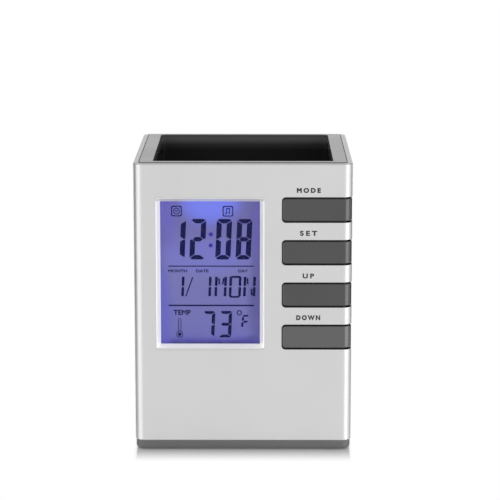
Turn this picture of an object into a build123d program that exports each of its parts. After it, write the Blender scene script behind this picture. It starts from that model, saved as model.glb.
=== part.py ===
from build123d import *
from math import cos, pi, radians, sin, sqrt, tan
import os

# Pen holder clock: a square silver sleeve over a black pen cup and a dark grey base.
# A backlit clock display and four corner-wrapping keys are set in the sleeve's front wall.
# All sizes are in millimetres. The origin is the middle of the footprint, where the feet stand.
# X is to the right seen from the front, the front faces -Y and Z is up.

# Overall sizes
outer_width = 78.0
outer_depth = 78.0
overall_height = 105.0
corner_radius = 3.4
foot_stand = 0.25  # how far the feet stand proud of the base
base_top = 3.7  # height of the seam between base and sleeve
overrun = 2.0  # how far every cutting shape runs past what it cuts

# Clearances
fit_gap = 0.2  # between parts that only locate each other
thin_gap = 0.05  # between parts that are clamped or glued together
running_gap = 0.05  # radial, round a pin that slides

# Sleeve
sleeve_wall = 1.8
rim_round = 0.45
seam_chamfer = 0.2
ledge_width = 0.8  # inner ledge that carries the cup's flange
ledge_height = 1.6

# Cup
flange_height = 2.3
flange_proud = 0.2  # how far the flange stands above the sleeve's rim
cup_side_rim = 5.1  # flat rim beside the mouth, left and right
cup_front_rim = 3.9
cup_back_rim = 2.4
cup_wall = 1.5
parts_room = 3.6  # between the board's back and the cup
shoulder_drop = 1.0  # the front shoulder starts this far below the flange's top
cup_corner_round = 2.0
cup_edge_round = 0.4
rib_thickness = 1.2
rib_rise = 7.8  # from the cup's underside to the ribs
rib_top_gap = 5.1  # from the ribs to the sleeve's ledge
rib_inset = 15.0  # from the cup's inner front and back walls to the ribs

# Display window
display_left = 8.0  # from the sleeve's left side to the bezel
display_drop = 12.35  # from the flange's top to the bezel
bezel_width = 38.6
bezel_height = 55.0
bezel_corner = 0.6
bezel_proud = 0.2
bezel_lip = 0.3
bevel_width = 1.25
bevel_depth = 1.7
bezel_flange = 1.5  # how far the flange reaches behind the sleeve's wall
flange_thickness = 1.0
window_gap = 0.12
lens_overlap = 1.0
lens_thickness = 1.0
lens_gap = 0.1

# Display stack
film_thickness = 0.2
glass_thickness = 0.7
glass_side_lap = 0.95  # how far the glass reaches past the window, left and right
glass_end_lap = 1.9
front_glass_drop = 0.4  # the front glass sits this far below the window's middle
contact_ledge = 2.5  # strip of the front glass that the rear glass leaves free
light_guide_thickness = 2.4
holder_wall = 1.6
peg_radius = 0.8
peg_share = 0.35  # height of the holder's pegs, as a share of its height
strip_inset = 1.7
strip_height = 2.0

# Circuit board
board_thickness = 1.2
board_above = 4.35  # how far the board reaches above and below the bezel
board_below = 4.65
board_side_gap = 0.7
post_radius = 1.9
mid_post_radius = 1.5
post_inset = 7.0  # from the board's upper and lower edges
right_post_inset = 8.0  # from the sleeve's right side
board_screw_radius = 0.75
board_screw_length = 5.4
board_screw_head_radius = 1.6
board_screw_head_height = 1.2
board_hole_gap = 0.2

# Keys
key_names = ["down", "up", "set", "mode"]  # from the lowest to the highest
key_pitch_share = 0.28  # of the bezel's height
notch_gap = 6.2  # from the bezel to the notches
notch_share = 0.6  # height of a notch, as a share of the pitch
notch_corner = 1.45
notch_side_depth = 7.0  # how far the notches run back along the right side
key_gap = 0.55
key_end_gap = 0.35  # at the keys' left ends
key_inset = 0.1
key_skin = 1.3
key_wall = 1.4
key_edge_round = 0.45
key_lip = 1.0
key_lip_thickness = 0.95
key_travel = 0.5
travel_spare = 0.1
plunger_radius = 2.2

# Push switches under the keys
switch_share = 0.36  # where the switches sit along the notches
switch_side = 6.0
switch_height = 3.5
switch_stem_radius = 1.65
switch_stem_proud = 0.75
switch_stem_length = 2.2
switch_bore_spare = 0.2

# Key guide
guide_thickness = 1.5
guide_rib_share = 0.38  # of the gap between two keys' lips
guide_side_gap = 0.6
guide_pillar_radius = 1.6
guide_window_gap = 0.8

# Parts on the board's back
chip_radius = 6.0
chip_height = 1.5
chip_round = 1.35
crystal_radius = 1.0
crystal_length = 6.0
capacitor_length = 2.0
capacitor_width = 1.25
capacitor_height = 0.8
transistor_length = 2.9
transistor_width = 1.5
transistor_height = 1.1
led_length = 3.0
led_width = 1.4
led_height = 1.4
led_pocket_gap = 0.25

# Base
base_floor = 1.8
base_inset = 0.3  # how far the base lies inside the sleeve's outline, all round
base_round = 1.4
spigot_thickness = 1.2
spigot_height = 3.0
foot_radius = 4.5
foot_recess = 0.6
foot_inset = 7.5  # from the outer faces to the middle of each foot
vent_count = 6
vent_pitch = 2.4
vent_width = 1.2
vent_length = 5.0
vent_share = 0.4  # of half the width, from the middle to the vents
vent_inset = 8.0  # from the front face to the middle of the vents

# Cells and their bay
cell_radius = 5.25
cell_length = 44.5
nub_radius = 1.9
nub_length = 1.0
cell_edge_round = 0.5
cell_gap = 0.3
cell_lift = 0.3  # above the battery door
bay_gap = 1.6  # from the buzzer's seat to the bay
spring_room = 5.7
contact_thickness = 0.4
contact_width = 9.0
contact_height = 9.0
tail_width = 3.0
tail_length = 2.0
door_ledge = 1.2
bay_wall = 2.4
roof_thickness = 1.0

# Battery door
door_thickness = 1.6
door_gap = 0.3
tongue_width = 8.0
tongue_height = 1.0
tongue_reach = 2.4
tongue_lift = 0.3
tongue_spread = 32.0
tongue_swing = 3.2  # free height above the slots' sill
riser_width = 1.3
tab_width = 10.0
tab_length = 2.5
snap_radius = 0.2
scoop_radius = 4.4
scoop_depth = 1.0
grip_count = 3
grip_pitch = 1.8
grip_width = 0.8
grip_depth = 0.3
grip_length = 12.0

# Contact springs
spring_wire = 0.25  # radius of the wire
spring_big_radius = 3.3
spring_small_radius = 2.1
spring_turns = 3
spring_bend = 0.6  # radius of the bend between a leg and the first turn
spring_probe = 0.01  # small step along the coil, for its tangent
spring_samples = 400  # places where the spring's gap to itself is measured

# Case screws
case_screw_inset = 5.0  # from the bay's outer ends to the case screws
collar_gap = 3.2  # from the bay to the collars behind it
collar_radius = 3.6
collar_height = 3.3
cup_boss_radius = 3.0
case_head_radius = 2.6
case_head_height = 1.5
case_screw_radius = 1.3
case_screw_length = 7.5
case_screw_web = 1.9
drive_slot_width = 0.8
drive_slot_depth = 0.6

# Buzzer
buzzer_radius = 7.5
buzzer_thickness = 0.3
ceramic_radius = 5.0
ceramic_thickness = 0.2
buzzer_share = 0.5  # share of the spare depth that lies in front of the buzzer
buzzer_seat_wall = 0.9
buzzer_ledge = 1.0
buzzer_lift = 0.8
sound_hole_radius = 0.6
sound_hole_ring = 3.2
sound_hole_count = 6

# Wires and sensor
battery_wire_radius = 0.55
battery_wire_pitch = 1.6
largest_bend = 4.0  # of a wire inside the case
bend_share = 0.45
buzzer_wire_radius = 0.4
buzzer_wire_height = 9.0
sensor_radius = 1.2
sensor_drop = 7.0
sensor_wire_radius = 0.25
sensor_wire_spread = 1.2

# Places worked out from the sizes above
half_width = outer_width / 2
half_depth = outer_depth / 2
inner_width = outer_width - 2 * sleeve_wall
inner_depth = outer_depth - 2 * sleeve_wall
inner_radius = corner_radius - sleeve_wall
base_bottom = foot_stand
floor_top = base_bottom + base_floor
rim_top = overall_height - flange_proud
flange_bottom = overall_height - flange_height
glass_front = bevel_depth + lens_gap + lens_thickness + lens_gap
glass_back = glass_front + 2 * (film_thickness + glass_thickness)
board_depth = glass_back + light_guide_thickness + lens_gap
board_back = board_depth + board_thickness
cup_front_depth = board_back + parts_room + cup_wall
pilot_radius = board_screw_radius + running_gap
display_center_x = -half_width + display_left + bezel_width / 2
display_center_z = overall_height - display_drop - bezel_height / 2
opening_width = bezel_width - 2 * (bezel_lip + bevel_width)
opening_height = bezel_height - 2 * (bezel_lip + bevel_width)
glass_width = opening_width + 2 * glass_side_lap
front_glass_height = opening_height + 2 * glass_end_lap
board_bottom = display_center_z - bezel_height / 2 - board_below
board_top = display_center_z + bezel_height / 2 + board_above
post_low_z = board_bottom + post_inset
post_high_z = board_top - post_inset
key_pitch = key_pitch_share * bezel_height
notch_height = notch_share * key_pitch
notch_left = display_center_x + bezel_width / 2 + notch_gap
switch_x = notch_left + switch_share * (half_width - notch_left)
middle_row = (len(key_names) - 1) / 2
key_heights = [display_center_z + (row - middle_row) * key_pitch for row in range(len(key_names))]
door_length = cell_length + spring_room + 2 * (contact_thickness + thin_gap) + 2 * door_ledge + thin_gap
bay_length = door_length - 2 * door_ledge
bay_width = 4 * cell_radius + 2 * cell_gap
door_width = bay_width + 2 * door_ledge
door_top = base_bottom + door_thickness
cell_z = door_top + cell_lift + cell_radius
roof_bottom = cell_z + cell_radius + fit_gap
roof_top = roof_bottom + roof_thickness
cup_floor_bottom = roof_top + fit_gap
cup_floor = cup_floor_bottom + cup_wall
collar_top = floor_top + collar_height
bay_outer_length = bay_length + 2 * bay_wall
bay_outer_width = bay_width + 2 * bay_wall
spigot_width = inner_width - 2 * fit_gap
spigot_depth = inner_depth - 2 * fit_gap
pocket_width = spigot_width - 2 * spigot_thickness
pocket_depth = spigot_depth - 2 * spigot_thickness
seat_radius = buzzer_radius + fit_gap + buzzer_seat_wall
spare_depth = pocket_depth - 2 * seat_radius - bay_gap - bay_outer_width - collar_gap - 2 * collar_radius
buzzer_y = -pocket_depth / 2 + buzzer_share * spare_depth + seat_radius
bay_center_y = buzzer_y + seat_radius + bay_gap + bay_outer_width / 2
case_screw_x = bay_outer_length / 2 - case_screw_inset
case_screw_front_y = buzzer_y
case_screw_back_y = bay_center_y + bay_outer_width / 2 + collar_gap + collar_radius
wire_y = -half_depth + board_depth + board_thickness / 2
vent_x = vent_share * half_width
front_cell_y = bay_center_y - cell_radius - cell_gap / 2
back_cell_y = bay_center_y + cell_radius + cell_gap / 2


# Upright plane at a depth behind the sleeve's front face. Extruding from it goes towards the front.
def upright(depth):
    return Plane.XZ.offset(half_depth - depth)


# Where a wire's route turns, the arc takes a share of the shorter run on either side.
def bend_radii(points):
    corners = []
    for before, corner, after in zip(points, points[1:], points[2:]):
        run_in = Vector(*corner) - Vector(*before)
        run_out = Vector(*after) - Vector(*corner)
        half_turn = radians(run_in.get_angle(run_out)) / 2
        corners.append(min(bend_share * min(run_in.length, run_out.length) / tan(half_turn), largest_bend))
    print("wire bend radii", [round(radius, 2) for radius in corners])
    return corners


# Prints a swept wire's volume beside its section times its length.
def check_volume(part, radius, route):
    length = sum(edge.length for edge in route.edges())
    print("swept volume", round(part.volume, 3), "section by length", round(pi * radius**2 * length, 3))
    return length


def save(part, label):
    part.label = label
    export_step(part, f"parts/{label}.step")


os.makedirs("parts", exist_ok=True)

# Posts inside the sleeve that the board is screwed to, two at the left, two beside the keys' left
# edge and two in the gaps between the keys.
left_post_x = -(inner_width / 2 - board_side_gap - post_radius)
middle_post_x = (display_center_x + bezel_width / 2 + notch_left) / 2
right_post_x = half_width - right_post_inset
side_posts = [(left_post_x, post_low_z), (left_post_x, post_high_z)]
key_posts = [
    (middle_post_x, post_low_z),
    (middle_post_x, post_high_z),
    (right_post_x, (key_heights[0] + key_heights[1]) / 2),
    (right_post_x, (key_heights[2] + key_heights[3]) / 2),
]
board_posts = side_posts + key_posts

# Silver sleeve: four walls in one piece, open above and below.
with BuildPart() as sleeve:
    with BuildSketch(Plane.XY.offset(base_top)):
        RectangleRounded(outer_width, outer_depth, corner_radius)
    extrude(amount=rim_top - base_top)
    with BuildSketch(Plane.XY.offset(base_top)):
        RectangleRounded(inner_width, inner_depth, inner_radius)
    extrude(amount=rim_top - base_top, mode=Mode.SUBTRACT)
    rim_face = sleeve.faces().sort_by(Axis.Z)[-1]
    fillet(rim_face.outer_wire().edges(), radius=rim_round)
    seam_face = sleeve.faces().sort_by(Axis.Z)[0]
    chamfer(seam_face.outer_wire().edges(), length=seam_chamfer)
    with BuildSketch(Plane.XY.offset(flange_bottom - ledge_height)):
        RectangleRounded(inner_width, inner_depth, inner_radius)
        RectangleRounded(
            inner_width - 2 * ledge_width,
            inner_depth - 2 * ledge_width,
            inner_radius - ledge_width,
            mode=Mode.SUBTRACT,
        )
    extrude(amount=ledge_height)
    with BuildSketch(upright(sleeve_wall)):
        with Locations((display_center_x, display_center_z)):
            RectangleRounded(
                bezel_width + 2 * window_gap, bezel_height + 2 * window_gap, bezel_corner + window_gap
            )
    extrude(amount=sleeve_wall + overrun, mode=Mode.SUBTRACT)
    with BuildSketch(upright(notch_side_depth)) as notches:
        for height in key_heights:
            with Locations((notch_left, height)):
                Rectangle(half_width + overrun - notch_left, notch_height, align=(Align.MIN, Align.CENTER))
        fillet(notches.vertices().group_by(Axis.X)[0], radius=notch_corner)
    extrude(amount=notch_side_depth + overrun, mode=Mode.SUBTRACT)
    with BuildSketch(upright(board_depth)):
        with Locations(*side_posts):
            Circle(post_radius)
        with Locations(*key_posts):
            Circle(mid_post_radius)
    extrude(amount=board_depth - sleeve_wall)
    with BuildSketch(upright(board_depth)):
        with Locations(*board_posts):
            Circle(pilot_radius)
    extrude(amount=board_depth - sleeve_wall, mode=Mode.SUBTRACT)
save(sleeve.part, "outer_sleeve")

# Black cup: flange, straight walls, a shoulder in front that makes room for the clock, and a floor.
mouth_half_width = inner_width / 2 - cup_side_rim
mouth_front = -half_depth + sleeve_wall + cup_front_rim
mouth_back = half_depth - sleeve_wall - cup_back_rim
cup_front = -half_depth + cup_front_depth
shoulder_top = overall_height - shoulder_drop
shoulder_bottom = shoulder_top - (cup_front - mouth_front)
shoulder_skin = cup_wall * tan(pi / 8)  # what the slanted wall's thickness takes off its height
with BuildPart() as cup_hollow:
    with BuildSketch(Plane.YZ.offset(-mouth_half_width)):
        with BuildLine():
            Polyline(
                (mouth_back, cup_floor),
                (mouth_back, overall_height + overrun),
                (mouth_front, overall_height + overrun),
                (mouth_front, shoulder_top),
                (cup_front, shoulder_bottom),
                (cup_front, cup_floor),
                close=True,
            )
        make_face()
    extrude(amount=2 * mouth_half_width)
    back_edges = cup_hollow.edges().filter_by(Axis.Z).group_by(Axis.Y)[-1]
    fillet(back_edges, radius=cup_corner_round)
    fillet(cup_hollow.faces().sort_by(Axis.Z)[0].edges(), radius=cup_corner_round)
with BuildPart() as cup:
    with BuildSketch(Plane.YZ.offset(-mouth_half_width - cup_wall)):
        with BuildLine():
            Polyline(
                (mouth_back + cup_wall, cup_floor_bottom),
                (mouth_back + cup_wall, overall_height),
                (mouth_front - cup_wall, overall_height),
                (mouth_front - cup_wall, shoulder_top - shoulder_skin),
                (cup_front - cup_wall, shoulder_bottom - shoulder_skin),
                (cup_front - cup_wall, cup_floor_bottom),
                close=True,
            )
        make_face()
    extrude(amount=2 * (mouth_half_width + cup_wall))
    with BuildSketch(Plane.XY.offset(flange_bottom)):
        RectangleRounded(inner_width - 2 * fit_gap, inner_depth - 2 * fit_gap, inner_radius - fit_gap)
    extrude(amount=flange_height)
    with BuildSketch(Plane.XY.offset(cup_floor_bottom + rib_rise)):
        with Locations((0, cup_front + rib_inset), (0, mouth_back - rib_inset)):
            Rectangle(inner_width - 2 * fit_gap, rib_thickness)
    extrude(amount=flange_bottom - ledge_height - rib_top_gap - cup_floor_bottom - rib_rise)
    with BuildSketch(Plane.XY.offset(collar_top)):
        with Locations(
            (-case_screw_x, case_screw_front_y),
            (case_screw_x, case_screw_front_y),
            (-case_screw_x, case_screw_back_y),
            (case_screw_x, case_screw_back_y),
        ) as case_screw_places:
            Circle(cup_boss_radius)
    extrude(amount=cup_floor_bottom - collar_top)
    with BuildSketch(Plane.XY.offset(collar_top)):
        with case_screw_places:
            Circle(case_screw_radius + running_gap)
    extrude(amount=cup_floor_bottom - collar_top, mode=Mode.SUBTRACT)
    add(cup_hollow.part, mode=Mode.SUBTRACT)
    mouth_edges = cup.faces().sort_by(Axis.Z)[-1].inner_wires()[0].edges()
    fillet(mouth_edges, radius=cup_edge_round)
    chamfer(cup.faces().sort_by(Axis.Z)[-1].outer_wire().edges(), length=seam_chamfer)
save(cup.part, "inner_cup")

# Silver frame round the display, with a bevel down to the window and a flange behind the sleeve.
lens_seat = lens_overlap + lens_gap
with BuildPart() as bezel:
    with BuildSketch(upright(sleeve_wall)):
        with Locations((display_center_x, display_center_z)):
            RectangleRounded(bezel_width, bezel_height, bezel_corner)
    extrude(amount=sleeve_wall + bezel_proud)
    fillet(bezel.faces().sort_by(Axis.Y)[0].edges(), radius=bezel_lip / 2)
    with BuildSketch(upright(sleeve_wall + thin_gap + flange_thickness)):
        with Locations((display_center_x, display_center_z)):
            Rectangle(bezel_width + 2 * bezel_flange, bezel_height + 2 * bezel_flange)
    extrude(amount=flange_thickness)
    with BuildSketch(upright(sleeve_wall + thin_gap)):
        with Locations((display_center_x, display_center_z)):
            Rectangle(bezel_width - 2 * bezel_lip, bezel_height - 2 * bezel_lip)
    extrude(amount=thin_gap)
    with BuildSketch(upright(bevel_depth)):
        with Locations((display_center_x, display_center_z)):
            Rectangle(opening_width, opening_height)
    with BuildSketch(upright(-bezel_proud)):
        with Locations((display_center_x, display_center_z)):
            Rectangle(bezel_width - 2 * bezel_lip, bezel_height - 2 * bezel_lip)
    loft(mode=Mode.SUBTRACT)
    with BuildSketch(upright(glass_front)):
        with Locations((display_center_x, display_center_z)):
            Rectangle(opening_width, opening_height)
    extrude(amount=glass_front - bevel_depth, mode=Mode.SUBTRACT)
    with BuildSketch(upright(glass_front)):
        with Locations((display_center_x, display_center_z)):
            Rectangle(opening_width + 2 * lens_seat, opening_height + 2 * lens_seat)
    extrude(amount=lens_gap + lens_thickness, mode=Mode.SUBTRACT)
save(bezel.part, "display_bezel")

# Clear window, seated against the bevel's inner edge.
with BuildPart() as lens:
    with BuildSketch(upright(glass_front - lens_gap)):
        with Locations((display_center_x, display_center_z)):
            Rectangle(opening_width + 2 * lens_overlap, opening_height + 2 * lens_overlap)
    extrude(amount=lens_thickness)
save(lens.part, "display_lens")

# Liquid crystal display: film, front glass, rear glass, film. The front glass is taller below, where
# its contacts lie.
glass_center_z = display_center_z - front_glass_drop
rear_glass_height = front_glass_height - contact_ledge
rear_glass_z = glass_center_z + contact_ledge / 2
front_glass_back = glass_front + film_thickness + glass_thickness
display_layers = {
    "lcd_front_film": (glass_front, film_thickness, front_glass_height - 2 * lens_gap, glass_center_z),
    "lcd_front_glass": (glass_front + film_thickness, glass_thickness, front_glass_height, glass_center_z),
    "lcd_rear_glass": (front_glass_back, glass_thickness, rear_glass_height, rear_glass_z),
    "lcd_rear_film": (front_glass_back + glass_thickness, film_thickness, rear_glass_height, rear_glass_z),
}
for layer_name, (layer_front, layer_thickness, layer_height, layer_z) in display_layers.items():
    with BuildPart() as layer:
        with BuildSketch(upright(layer_front + layer_thickness)):
            with Locations((display_center_x, layer_z)):
                Rectangle(glass_width, layer_height)
        extrude(amount=layer_thickness)
    save(layer.part, layer_name)

# Lamps soldered to the board's front, one at the top of the window and one low at its left.
top_lamp = (display_center_x, rear_glass_z + rear_glass_height / 2 - led_width / 2)
side_lamp = (display_center_x - glass_width / 2 + led_width / 2, rear_glass_z - rear_glass_height / 4)
with BuildPart() as lamps:
    with BuildSketch(upright(board_depth)):
        with Locations(top_lamp):
            Rectangle(led_length, led_width)
        with Locations(side_lamp):
            Rectangle(led_width, led_length)
    extrude(amount=led_height)
save(lamps.part, "backlight_lamps")

# Light guide behind the glass, with a pocket for each lamp.
with BuildPart() as light_guide:
    with BuildSketch(upright(glass_back + light_guide_thickness)):
        with Locations((display_center_x, rear_glass_z)):
            Rectangle(glass_width, rear_glass_height)
    extrude(amount=light_guide_thickness)
    with BuildSketch(upright(board_depth)):
        with Locations(top_lamp):
            Rectangle(led_length + 2 * led_pocket_gap, led_width + 2 * led_pocket_gap)
        with Locations(side_lamp):
            Rectangle(led_width + 2 * led_pocket_gap, led_length + 2 * led_pocket_gap)
    extrude(amount=led_height + led_pocket_gap, mode=Mode.SUBTRACT)
save(light_guide.part, "light_guide")

# White frame that holds the display on the board, with four pegs through it.
holder_width = glass_width + 2 * lens_gap + 2 * holder_wall
holder_height = front_glass_height + 2 * lens_gap + 2 * holder_wall
peg_spacing_x = holder_width - holder_wall
peg_spacing_z = 2 * peg_share * holder_height
with BuildPart() as holder:
    with BuildSketch(upright(board_depth - thin_gap)):
        with Locations((display_center_x, glass_center_z)):
            Rectangle(holder_width, holder_height)
            Rectangle(holder_width - 2 * holder_wall, holder_height - 2 * holder_wall, mode=Mode.SUBTRACT)
    extrude(amount=board_depth - thin_gap - glass_front)
    with BuildSketch(upright(board_back)):
        with Locations((display_center_x, glass_center_z)):
            with GridLocations(peg_spacing_x, peg_spacing_z, 2, 2):
                Circle(peg_radius)
    extrude(amount=board_thickness + thin_gap)
save(holder.part, "lcd_holder")

# Elastomer strip from the front glass's contacts to the board.
with BuildPart() as contact_strip:
    with BuildSketch(upright(board_depth - thin_gap)):
        with Locations((display_center_x, glass_center_z - front_glass_height / 2 + contact_ledge / 2)):
            Rectangle(glass_width - 2 * strip_inset, strip_height)
    extrude(amount=board_depth - front_glass_back - 2 * thin_gap)
save(contact_strip.part, "contact_strip")

# Keys: a skin flush with the sleeve that wraps round the corner, a lip behind the sleeve's wall and
# a plunger on the switch.
key_back = sleeve_wall + thin_gap + key_lip_thickness
key_height = notch_height - 2 * key_gap
key_left = notch_left + key_end_gap
key_side_depth = notch_side_depth - key_gap - key_travel - travel_spare
lip_height = notch_height + 2 * key_lip
lip_side_depth = key_side_depth + key_lip
stem_tip = board_depth - switch_height - switch_stem_proud
for key_name, height in zip(key_names, key_heights):
    with BuildPart() as key:
        with BuildSketch(Plane.XY.offset(height - key_height / 2)):
            RectangleRounded(
                outer_width - 2 * key_inset, outer_depth - 2 * key_inset, corner_radius - key_inset
            )
            RectangleRounded(
                outer_width - 2 * key_back,
                outer_depth - 2 * key_back,
                corner_radius - key_back,
                mode=Mode.SUBTRACT,
            )
            with Locations((key_left, -half_depth)):
                Rectangle(half_width - key_left, key_side_depth, align=Align.MIN, mode=Mode.INTERSECT)
        extrude(amount=key_height)
        left_edges = key.edges().filter_by(Axis.Y).group_by(Axis.X)[0]
        fillet(left_edges, radius=notch_corner - key_end_gap)
        corner_face = key.faces().filter_by(GeomType.CYLINDER).sort_by(SortBy.RADIUS)[-1]
        front_face = key.faces().sort_by(Axis.Y)[0]
        side_face = key.faces().sort_by(Axis.X)[-1]
        outline = front_face.edges() + corner_face.edges() + side_face.edges()
        fillet(outline - corner_face.edges().filter_by(Axis.Z), radius=key_edge_round)
        with BuildSketch(Plane.XY.offset(height - lip_height / 2)):
            RectangleRounded(
                inner_width - 2 * thin_gap, inner_depth - 2 * thin_gap, inner_radius - thin_gap
            )
            RectangleRounded(
                outer_width - 2 * key_back,
                outer_depth - 2 * key_back,
                corner_radius - key_back,
                mode=Mode.SUBTRACT,
            )
            with Locations((notch_left - key_lip, -half_depth)):
                Rectangle(half_width, lip_side_depth, align=Align.MIN, mode=Mode.INTERSECT)
        extrude(amount=lip_height)
        with BuildSketch(upright(key_back)):
            with Locations((key_left + key_wall, height)):
                Rectangle(
                    half_width - key_back - key_left - 2 * key_wall,
                    key_height - 2 * key_wall,
                    align=(Align.MIN, Align.CENTER),
                )
        extrude(amount=key_back - key_inset - key_skin, mode=Mode.SUBTRACT)
        with BuildSketch(upright(stem_tip)):
            with Locations((switch_x, height)):
                Circle(plunger_radius)
        extrude(amount=stem_tip - key_inset - key_skin)
    save(key.part, f"{key_name}_key")
    with BuildPart() as switch_stem:
        with BuildSketch(upright(stem_tip + switch_stem_length)):
            with Locations((switch_x, height)):
                Circle(switch_stem_radius)
        extrude(amount=switch_stem_length)
    save(switch_stem.part, f"{key_name}_switch_stem")

# Switch housings on the board, each with a bore for its stem.
with BuildPart() as switch_housings:
    with BuildSketch(upright(board_depth)):
        for height in key_heights:
            with Locations((switch_x, height)):
                Rectangle(switch_side, switch_side)
    extrude(amount=switch_height)
    with BuildSketch(upright(stem_tip + switch_stem_length + key_travel + switch_bore_spare)):
        for height in key_heights:
            with Locations((switch_x, height)):
                Circle(switch_stem_radius + running_gap)
    extrude(amount=switch_height, mode=Mode.SUBTRACT)
save(switch_housings.part, "switch_housings")

# Guide behind the keys: a plate that stops them, ribs between them and pillars down to the board.
guide_front = key_back + key_travel + travel_spare
guide_back = guide_front + guide_thickness
guide_left = middle_post_x + mid_post_radius + fit_gap
guide_right = half_width - key_back - guide_side_gap
guide_rib = guide_rib_share * (key_pitch - lip_height)
outer_rib = lip_height / 2 + fit_gap + guide_rib / 2
rib_heights = [key_heights[0] - outer_rib, key_heights[-1] + outer_rib]
rib_heights += [(low + high) / 2 for low, high in zip(key_heights, key_heights[1:])]
guide_middle_x = (guide_left + guide_right) / 2
guide_width = guide_right - guide_left
with BuildPart() as key_guide:
    with BuildSketch(upright(guide_back)):
        with Locations((guide_middle_x, display_center_z)):
            Rectangle(guide_width, rib_heights[1] - rib_heights[0] + guide_rib)
        for height in key_heights:
            with Locations((switch_x, height)):
                window_side = switch_side + 2 * guide_window_gap
                Rectangle(window_side, window_side, mode=Mode.SUBTRACT)
    extrude(amount=guide_thickness)
    with BuildSketch(upright(guide_front)):
        for height in rib_heights:
            with Locations((guide_middle_x, height)):
                Rectangle(guide_width, guide_rib)
    extrude(amount=guide_front - sleeve_wall - thin_gap)
    with BuildSketch(upright(board_depth)):
        for height in rib_heights[:2]:
            with Locations(
                (guide_left + guide_pillar_radius, height), (guide_right - guide_pillar_radius, height)
            ):
                Circle(guide_pillar_radius)
    extrude(amount=board_depth - guide_back)
    with BuildSketch(upright(board_depth)):
        with Locations(*key_posts[2:]):
            Circle(mid_post_radius + fit_gap)
    extrude(amount=board_depth, mode=Mode.SUBTRACT)
save(key_guide.part, "key_guide")

# Main board, with holes for its screws and for the holder's pegs.
board_left = -inner_width / 2 + board_side_gap
board_right = half_width - key_back - board_side_gap
with BuildPart() as board:
    with BuildSketch(upright(board_back)):
        with Locations((board_left, board_bottom)):
            Rectangle(board_right - board_left, board_top - board_bottom, align=Align.MIN)
        with Locations(*board_posts):
            Circle(board_screw_radius + board_hole_gap, mode=Mode.SUBTRACT)
        with Locations((display_center_x, glass_center_z)):
            with GridLocations(peg_spacing_x, peg_spacing_z, 2, 2):
                Circle(peg_radius + lens_gap, mode=Mode.SUBTRACT)
    extrude(amount=board_thickness)
save(board.part, "main_board")

# Board screws, from behind into the sleeve's posts.
with BuildPart() as board_screws:
    with BuildSketch(upright(board_back + board_screw_head_height)):
        with Locations(*board_posts):
            Circle(board_screw_head_radius)
    extrude(amount=board_screw_head_height)
    chamfer(board_screws.faces().group_by(Axis.Y)[-1].edges(), length=board_screw_head_height / 4)
    with BuildSketch(upright(board_back)):
        with Locations(*board_posts):
            Circle(board_screw_radius)
    extrude(amount=board_screw_length)
    with BuildSketch(upright(board_back + board_screw_head_height)):
        with Locations(*board_posts):
            Rectangle(2 * board_screw_radius, drive_slot_width / 2)
            Rectangle(drive_slot_width / 2, 2 * board_screw_radius)
    extrude(amount=board_screw_head_height / 2, mode=Mode.SUBTRACT)
save(board_screws.part, "board_screws")

# Small parts on the board's back.
chip_z = (board_bottom + board_top) / 2
with BuildPart() as chip:
    with BuildSketch(upright(board_back + chip_height)):
        with Locations((display_center_x, chip_z)):
            Circle(chip_radius)
    extrude(amount=chip_height)
    fillet(chip.faces().sort_by(Axis.Y)[-1].edges(), radius=chip_round)
save(chip.part, "chip_resin")

with BuildPart() as crystal:
    with BuildSketch(Plane.YZ.offset(display_center_x + chip_radius + crystal_length / 2)):
        with Locations((-half_depth + board_back + crystal_radius + thin_gap, chip_z)):
            Circle(crystal_radius)
    extrude(amount=crystal_length)
save(crystal.part, "clock_crystal")

with BuildPart() as capacitors:
    with BuildSketch(upright(board_back + capacitor_height)):
        with Locations((display_center_x, chip_z - 2 * chip_radius)):
            with GridLocations(2 * capacitor_length, 2 * capacitor_length, 4, 2):
                Rectangle(capacitor_width, capacitor_length)
    extrude(amount=capacitor_height)
save(capacitors.part, "capacitors")

with BuildPart() as transistors:
    with BuildSketch(upright(board_back + transistor_height)):
        with Locations((display_center_x, chip_z + 2 * chip_radius)):
            with GridLocations(2 * transistor_length, 0, 2, 1):
                Rectangle(transistor_length, transistor_width)
    extrude(amount=transistor_height)
save(transistors.part, "lamp_transistors")

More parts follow.
